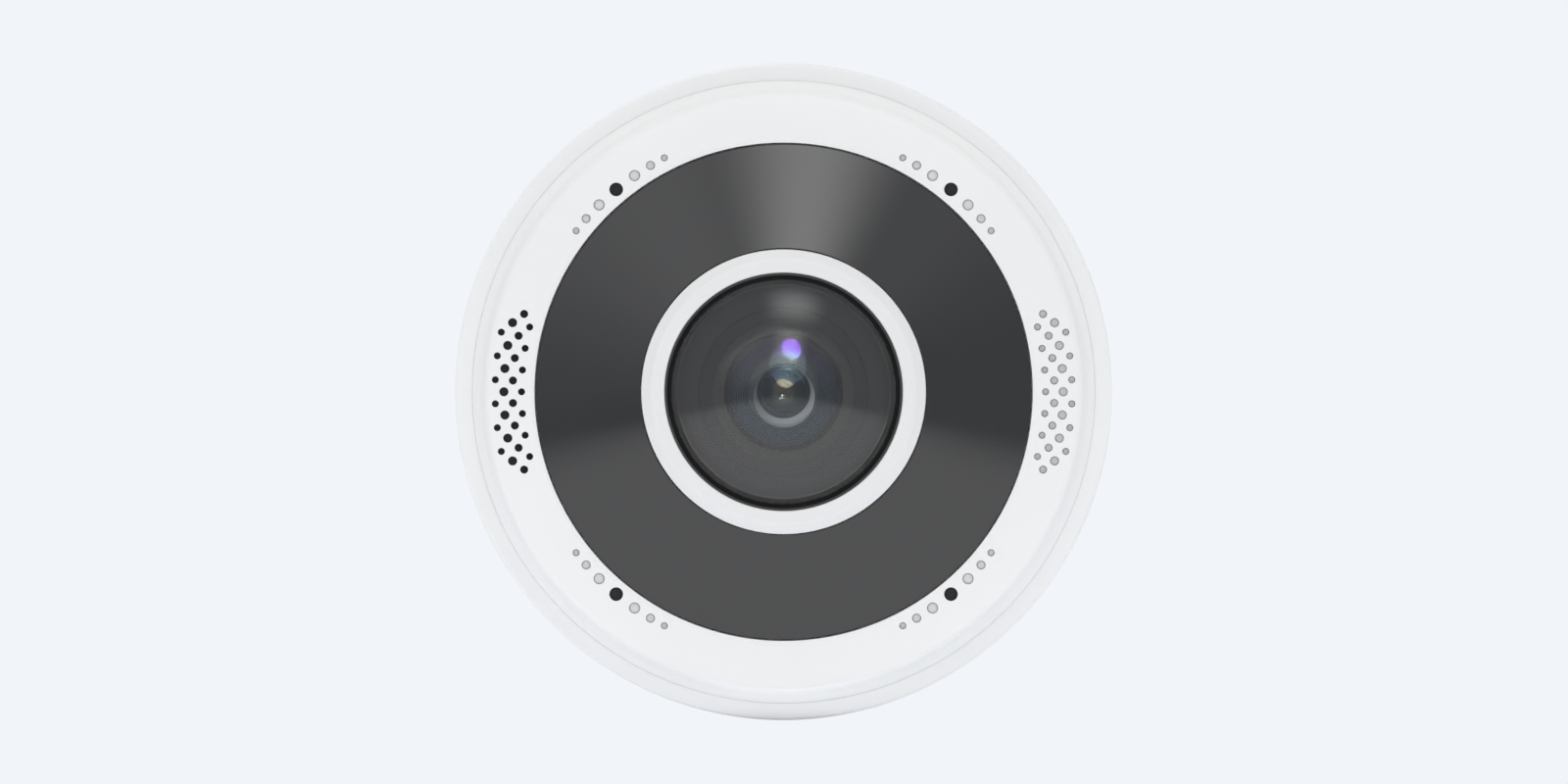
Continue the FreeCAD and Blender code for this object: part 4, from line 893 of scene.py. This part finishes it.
ports = [(PORT_RADIUS, PORT_RING, angle, True) for angle in PORT_ANGLES]
ports += [(size, PORT_RING, angle + side * offset, False)
          for angle in PORT_ANGLES for offset, size in ARC_DIMPLES for side in (-1, 1)]
for row, (count, size) in enumerate(GRILLE_ROWS):
    for i in range(count):
        off = (2 * i - count + 1) * HALF_STEP_DEGREES
        ports += [(size, GRILLE_FROM + ROW_STEP * row, middle + off, middle > 90) for middle in (0.0, 180.0)]
tools = []
for size, ring, angle, is_open in ports:
    top = face_level(ring)
    foot = (size, COVER_UNDER - 0.5) if is_open else (size - DRAFT, top - DIMPLE_DEPTH)
    tools.append((*clock(ring, angle), [foot, (size - 0.01, top - BREAK), (size + BREAK, top + 0.01),
                                        (size + BREAK, top + 0.6)]))
bosses = [(*clock(ring, angle), [(size, low), (size, high)])
          for ring, size, low, high, angles in (SCREW_BOSSES, LEDGE_BOSSES) for angle in angles]
drill(cover, bosses, "UNION")
drill(cover, tools)
dress(cover, "front_cover_face", "white_plastic", "front_cover")
print("holes and dimples:", len(ports))

# %% [markdown]
# ### The dimples' painted shade
#
# A dimple's wall sees little light and its floor more, so each gets a painted shade of its own by the face's
# place: a face belongs to a dimple when all its corners lie within the dimple's circle and its middle lies below
# the rim.

# %% Painted shade of the dimples
DIMPLE_PAINTED_SHADES = {
    # Painted shade: the walls are dark, the grille's floors a shaded grey, and the arcs' floors keep about the
    # face's white.
    "dimple_wall_painted_shade": look(0.24, 0.28, (0.5, 0.6), 0.2, 0.004),
    "dimple_floor_painted_shade": look(0.74, 0.70, (0.5, 0.6), 0.2, 0.004),
    "arc_floor": look(0.86, 0.83, (0.5, 0.6), 0.2, 0.004),
}
for name, settings in DIMPLE_PAINTED_SHADES.items():
    FINISHES[name] = finish(name, **settings)
    cover.data.materials.append(FINISHES[name])
places = [(*clock(ring, angle), size, face_level(ring) - BREAK, abs(angle) < min(PORT_ANGLES) / 2)
          for size, ring, angle, _ in ports]
for face in cover.data.polygons:
    corners = [cover.data.vertices[i].co / MM for i in face.vertices]
    x, depth_y, y = face.center / MM
    for px, py, size, rim_level, in_grille in places:
        if math.hypot(x - px, y - py) < size and -depth_y < rim_level:
            if all(math.hypot(corner.x - px, corner.z - py) < size + BREAK for corner in corners):
                is_floor = face.normal.y < -0.9
                face.material_index = (2 if in_grille else 3) if is_floor else 1
            break

# %% [markdown]
# ### The smoked window
#
# Infrared lamps sit behind a cone of tinted plastic, polished like a lens. It is one turned ring, 2 mm thick,
# with its two front edges barely broken. It shows no detail of its own, so its whole look is the straight cone and
# what that mirrors: seen squarely, a cone mirrors one direction for each clock angle.

# %% Window
INNER_EDGE, OUTER_EDGE, WINDOW_THICK = (34.9, 47.4), (60.4, 41.4), 2.0
turned("ir_window_ring",
       [(*INNER_EDGE, 0.1), (*OUTER_EDGE, 0.1), (OUTER_EDGE[0], OUTER_EDGE[1] + WINDOW_THICK, 0.22),
        (INNER_EDGE[0], INNER_EDGE[1] + WINDOW_THICK, 0.22)],
       "smoked_window", "ir_window")

# %% [markdown]
# ### The collar and the black seal
#
# The white collar screws down from behind and clamps the dome with a rubber ring. Its face is flat, and a
# chamfer leads to the window. The seal has a thin standing lip against the collar, which catches a little light.

# %% Collar
TUBE_BORE, COLLAR_WIDEST, OPENING = 31.4, 36.2, 29.0
collar = lathe(rounded([
    (TUBE_BORE, FRAME_FRONT, 0.15), (COLLAR_WIDEST, FRAME_FRONT, 0.15), (COLLAR_WIDEST, COLLAR_SHELF, 0.1),
    (34.7, COLLAR_SHELF, 0.1), (34.7, 49.9, 0.3), (32.3, COLLAR_FACE, 0.4), (OPENING + 0.1, COLLAR_FACE, 0.35),
    (OPENING, SEAL_TOP, 0.1), (TUBE_BORE, SEAL_TOP, 0.1)]))
SCREW_RING, SCREW_BORE, SCREW_END = 33.8, 1.02, 40.1
drill(collar, [(*clock(SCREW_RING, angle), [(SCREW_BORE, FRAME_FRONT - 1.5), (SCREW_BORE, SCREW_END)])
               for angle in (30, 150, 270)])
dress(collar, "lens_collar_ring", "collar_white", "lens_collar", slot="white_plastic")

# %% Seal
GROOVE_EDGE = 28.4
seal = turned("dome_seal_ring",
              [(DOME_RADIUS + 0.1, FLANGE_FRONT, 0.05), (FLANGE_RADIUS, FLANGE_FRONT, 0.05),
               (FLANGE_RADIUS, SEAL_TOP, 0.05), (28.95, SEAL_TOP, 0.03), (28.95, 50.25, 0.1), (28.35, 50.2, 0.15),
               (28.2, 49.9, 0.1), (DOME_RADIUS + 0.1, 49.75, 0.05)],
              "seal_rubber", "dome_seal", slot="black_rubber")
# The groove's faces get a far darker black: painted shade.
second_finish(seal, "seal_groove_painted_shade", lambda r, h: r < GROOVE_EDGE)

# %% [markdown]
# ### The clear dome
#
# A shell 2 mm thick, part of a sphere, with a flat flange under the seal. Its inner and outer faces are both
# there, so it mirrors the lamps twice, a hair apart, as a real dome does.

# %% Dome
DOME_APEX, DOME_RISE, DOME_WALL, DOME_PARTS = 58.0, 8.4, 2.0, 28
dome_ball = (DOME_RADIUS ** 2 + DOME_RISE ** 2) / (2 * DOME_RISE)
inner_ball = dome_ball - DOME_WALL
inner_radius = math.sqrt(inner_ball ** 2 - (FLANGE_BACK - DOME_APEX + dome_ball) ** 2)
inner_rise = DOME_APEX - DOME_WALL - FLANGE_BACK
flange = [(30.3, FLANGE_FRONT), (FLANGE_RADIUS, 49.5), (FLANGE_RADIUS, 47.7), (30.3, FLANGE_BACK)]
dome = lathe(cap(DOME_APEX, DOME_RISE, DOME_RADIUS, DOME_PARTS) + flange
             + cap(DOME_APEX - DOME_WALL, inner_rise, inner_radius, DOME_PARTS, inward=True))
dress(dome, "lens_dome_shell", "dome_clear", "lens_dome")
dome_centre = DOME_APEX - dome_ball


def on_inner_side(radius, height):
    """True for the dome's inner face and for the back of its flange."""
    in_shell = math.hypot(radius, height - dome_centre) < dome_ball - DOME_WALL / 2
    return height < FLANGE_BACK + 0.1 or (in_shell and radius < inner_radius)


second_finish(dome, "dome_inside", on_inner_side)

# %% [markdown]
# ### The black shroud
#
# A stepped funnel hides the inside of the camera and kills stray light. Fine ridges run round its slopes, so light
# that meets them at a low angle is thrown back and not on into the lens.

# %% Shroud
def ridged(start, end, pitch, depth):
    """A slope with saw-tooth ridges across it."""
    count = max(1, round(math.dist(start, end) / pitch))
    ridges = []
    for i in range(count):
        low = tuple(a + (b - a) * i / count for a, b in zip(start, end))
        high = tuple(a + (b - a) * (i + 0.7) / count for a, b in zip(start, end))
        ridges += [low, (high[0], high[1] + depth)]
    return ridges


RIDGE_PITCH, RIDGE_DEPTH, LIP_EDGE = 0.5, 0.03, (17.3, 49.2)
outer_slope, middle_slope, inner_slope = (ridged(start, end, RIDGE_PITCH, RIDGE_DEPTH) for start, end in (
    ((28.0, 47.0), (21.2, 48.13)), ((19.8, 48.65), (18.2, 49.28)), ((16.8, 49.82), (15.1, 50.10))))
outer_step = [(21.0, 48.16), (20.8, 48.22), (20.6, 48.32), (20.45, 48.44), (20.25, 48.54), (20.0, 48.61)]
inner_step = [(18.0, 49.32), (17.8, 49.38), (17.6, 49.48), (17.45, 49.60), (17.25, 49.71), (17.0, 49.79)]
shroud = lathe([(31.2, FRAME_FRONT), (31.2, 47.5), (31.1, FLANGE_BACK), (28.5, FLANGE_BACK), (28.4, 47.5),
                (28.2, 47.0)] + outer_slope + outer_step + middle_slope + inner_step + inner_slope
               + [(14.6, 50.12), (14.5, 50.08), (14.45, HEAD_TOP), (14.45, 49.3), (30.0, 45.8),
                  (30.0, FRAME_FRONT)])
dress(shroud, "lens_shroud_funnel", "baffle_black", "lens_shroud", slot="black_plastic")
second_finish(shroud, "shroud_lip", lambda r, h: r < LIP_EDGE[0] and h > LIP_EDGE[1])

# %% [markdown]
# ### The lens
#
# The barrel's head holds a wide front element. Behind it a black turned cone with fine threads leads down to the
# second element, which a satin ring holds. Each element is coated, and its coating gives every lamp's reflection
# a colour that depends on where on the glass it falls: gold in the middle, teal further out, violet near the rim.

# %% Barrel
THREAD_DEPTH, THREAD_LENGTH, HEAD_RADIUS = 0.14, 4.73, 14.4
STOP_BACK, STOP_FRONT = 40.3, 40.8
threads = ridged((THREAD_TOP, 48.45), (THREAD_FOOT, 47.15), THREAD_LENGTH / THREAD_TURNS, -THREAD_DEPTH)
head = [(14.3, BARREL_STEP), (HEAD_RADIUS, 47.3), (HEAD_RADIUS, 49.8), (14.34, 49.94), (14.2, HEAD_TOP),
        (13.6, HEAD_TOP), (13.45, 49.95), (13.4, 49.8), (13.4, 48.5)]
barrel = lathe([(5.1, 37.0), (8.85, 37.0), (8.95, 37.1), (8.95, BARREL_STEP)] + head + threads
               + [(8.6, 47.1), (8.5, 47.0), (8.5, 45.4), (5.5, 45.4), (5.5, STOP_FRONT), (2.4, STOP_FRONT),
                  (2.4, STOP_BACK), (5.1, STOP_BACK)])
dress(barrel, "lens_barrel_turned", "thread_black", "lens_barrel", slot="black_anodised")
second_finish(barrel, "head_black", lambda r, h: r > THREAD_TOP + 0.05)

# %% [markdown]
# ### The glass
#
# Each element is turned with both of its faces: a cap in front and a dish behind. The front face gets the coating
# that shows its colours, and the back a quiet one, so each lamp shows once and not twice.

# %% Front element
FRONT_APEX, FRONT_RISE, FRONT_RADIUS, FRONT_BACK = 53.8, 4.1, 13.3, 48.5
DISH_EDGE, DISH_APEX, DISH_RISE = 9.0, 52.9, 4.4
rim = [(FRONT_RADIUS, FRONT_BACK + 0.1), (FRONT_RADIUS - 0.1, FRONT_BACK), (DISH_EDGE, FRONT_BACK)]
front_element = lathe(cap(FRONT_APEX, FRONT_RISE, FRONT_RADIUS, 24) + rim
                      + cap(DISH_APEX, DISH_RISE, DISH_EDGE, 16, inward=True)[1:])
dress(front_element, "front_element", "front_coated", "front_lens", slot="coated_glass")
front_ball = (FRONT_RADIUS ** 2 + FRONT_RISE ** 2) / (2 * FRONT_RISE)
front_centre = FRONT_APEX - front_ball
UNDER_FRONT = 0.4
second_finish(front_element, "quiet_coated",
              lambda r, h: r < DISH_EDGE and math.hypot(r, h - front_centre) < front_ball - UNDER_FRONT)

# %% Second element
SECOND_APEX, SECOND_RISE, SECOND_RADIUS, SECOND_BACK = 50.0, 3.0, 8.4, 46.05
SECOND_DISH, SECOND_DISH_APEX, SECOND_DISH_RISE = 5.2, 48.4, 2.35
second_element = lathe(cap(SECOND_APEX, SECOND_RISE, SECOND_RADIUS, 20)
                       + [(SECOND_RADIUS, SECOND_BACK + 0.1), (8.3, SECOND_BACK), (SECOND_DISH, SECOND_BACK)]
                       + cap(SECOND_DISH_APEX, SECOND_DISH_RISE, SECOND_DISH, 12, inward=True)[1:])
dress(second_element, "second_element", "second_coated", "second_lens", slot="coated_glass")
second_finish(second_element, "quiet_coated",
              lambda r, h: h < SECOND_BACK + 0.15 or (r < SECOND_DISH and h < SECOND_DISH_APEX + 0.05))

# %% [markdown]
# ### The satin ring
#
# A screwed ring holds the second element in the barrel. Only a crescent of it shows round the glass, at the lower
# right: outside an off-centre circle it is painted dark as painted shade, and the crescent is painted lighter
# towards the lower right as painted light. It has no solid of its own in the imported model, so it replaces
# nothing.

# %% Satin ring
turned("lens_retaining_ring",
       [(8.85, 48.0), (8.85, 48.55, 0.06), (8.0, 48.95, 0.2), (6.55, 48.7, 0.06), (6.5, 48.42), (7.6, 47.95)],
       "satin_ring", slot="bare_aluminium")

# %% [markdown]
# ### The third element
#
# The smallest glass that shows, deep in the barrel. Its front is a dish, its rim slopes back, and its back is a
# slight cap.

# %% Third element
DISH_RADIUS, DISH_DEPTH, DISH_FLOOR, DISH_PARTS = 2.4, 1.27, 43.95, 12
THIRD_BACK, THIRD_RISE, THIRD_EDGE = 43.2, 0.9, 5.3
dish_ball = (DISH_RADIUS ** 2 + DISH_DEPTH ** 2) / (2 * DISH_DEPTH)
dish_radii = [DISH_RADIUS * i / DISH_PARTS for i in range(DISH_PARTS + 1)]
dish = [(r, DISH_FLOOR + dish_ball - math.sqrt(dish_ball ** 2 - r ** 2)) for r in dish_radii]
third_element = lathe(dish + [(2.6, 45.25), (4.0, 44.95), (THIRD_EDGE, 44.45), (5.4, 44.35), (5.4, 43.3),
                              (THIRD_EDGE, THIRD_BACK)]
                      + [(r, 2 * THIRD_BACK - THIRD_RISE - h)
                         for r, h in cap(THIRD_BACK, THIRD_RISE, THIRD_EDGE, DISH_PARTS, inward=True)])
dress(third_element, "third_element", "inner_coated", "third_lens", slot="coated_glass")

# %% [markdown]
# ### Lamps for the lens
#
# Three oval lamps belong to the coated glass alone, as a photographer's small lamps do when flags keep them off
# all else. Light linking is such a flag. One makes the violet disc, one the teal patch below it, and the last the
# small gold patch in the middle.

# %% Lamps for the lens
coated_pieces = bpy.data.collections.new("coated_pieces")
bpy.context.scene.collection.children.link(coated_pieces)
for element in (front_element, second_element, third_element):
    coated_pieces.objects.link(element)
SPOTS = (("spot_violet", 80, 53, 0.19, 0.24, 80.0), ("spot_teal", 81, 33, 0.40, 0.44, 8.5),
         ("spot_gold", 256, 11, 0.07, 0.09, 22.0))
for name, azimuth, tilt, width, height, radiance in SPOTS:
    spot = lamp(name, azimuth, tilt, 0.5, width, height, radiance, diffuse=False)
    spot.data.shape = "ELLIPSE"
    spot.data.energy *= math.pi / 4
    spot.light_linking.receiver_collection = coated_pieces
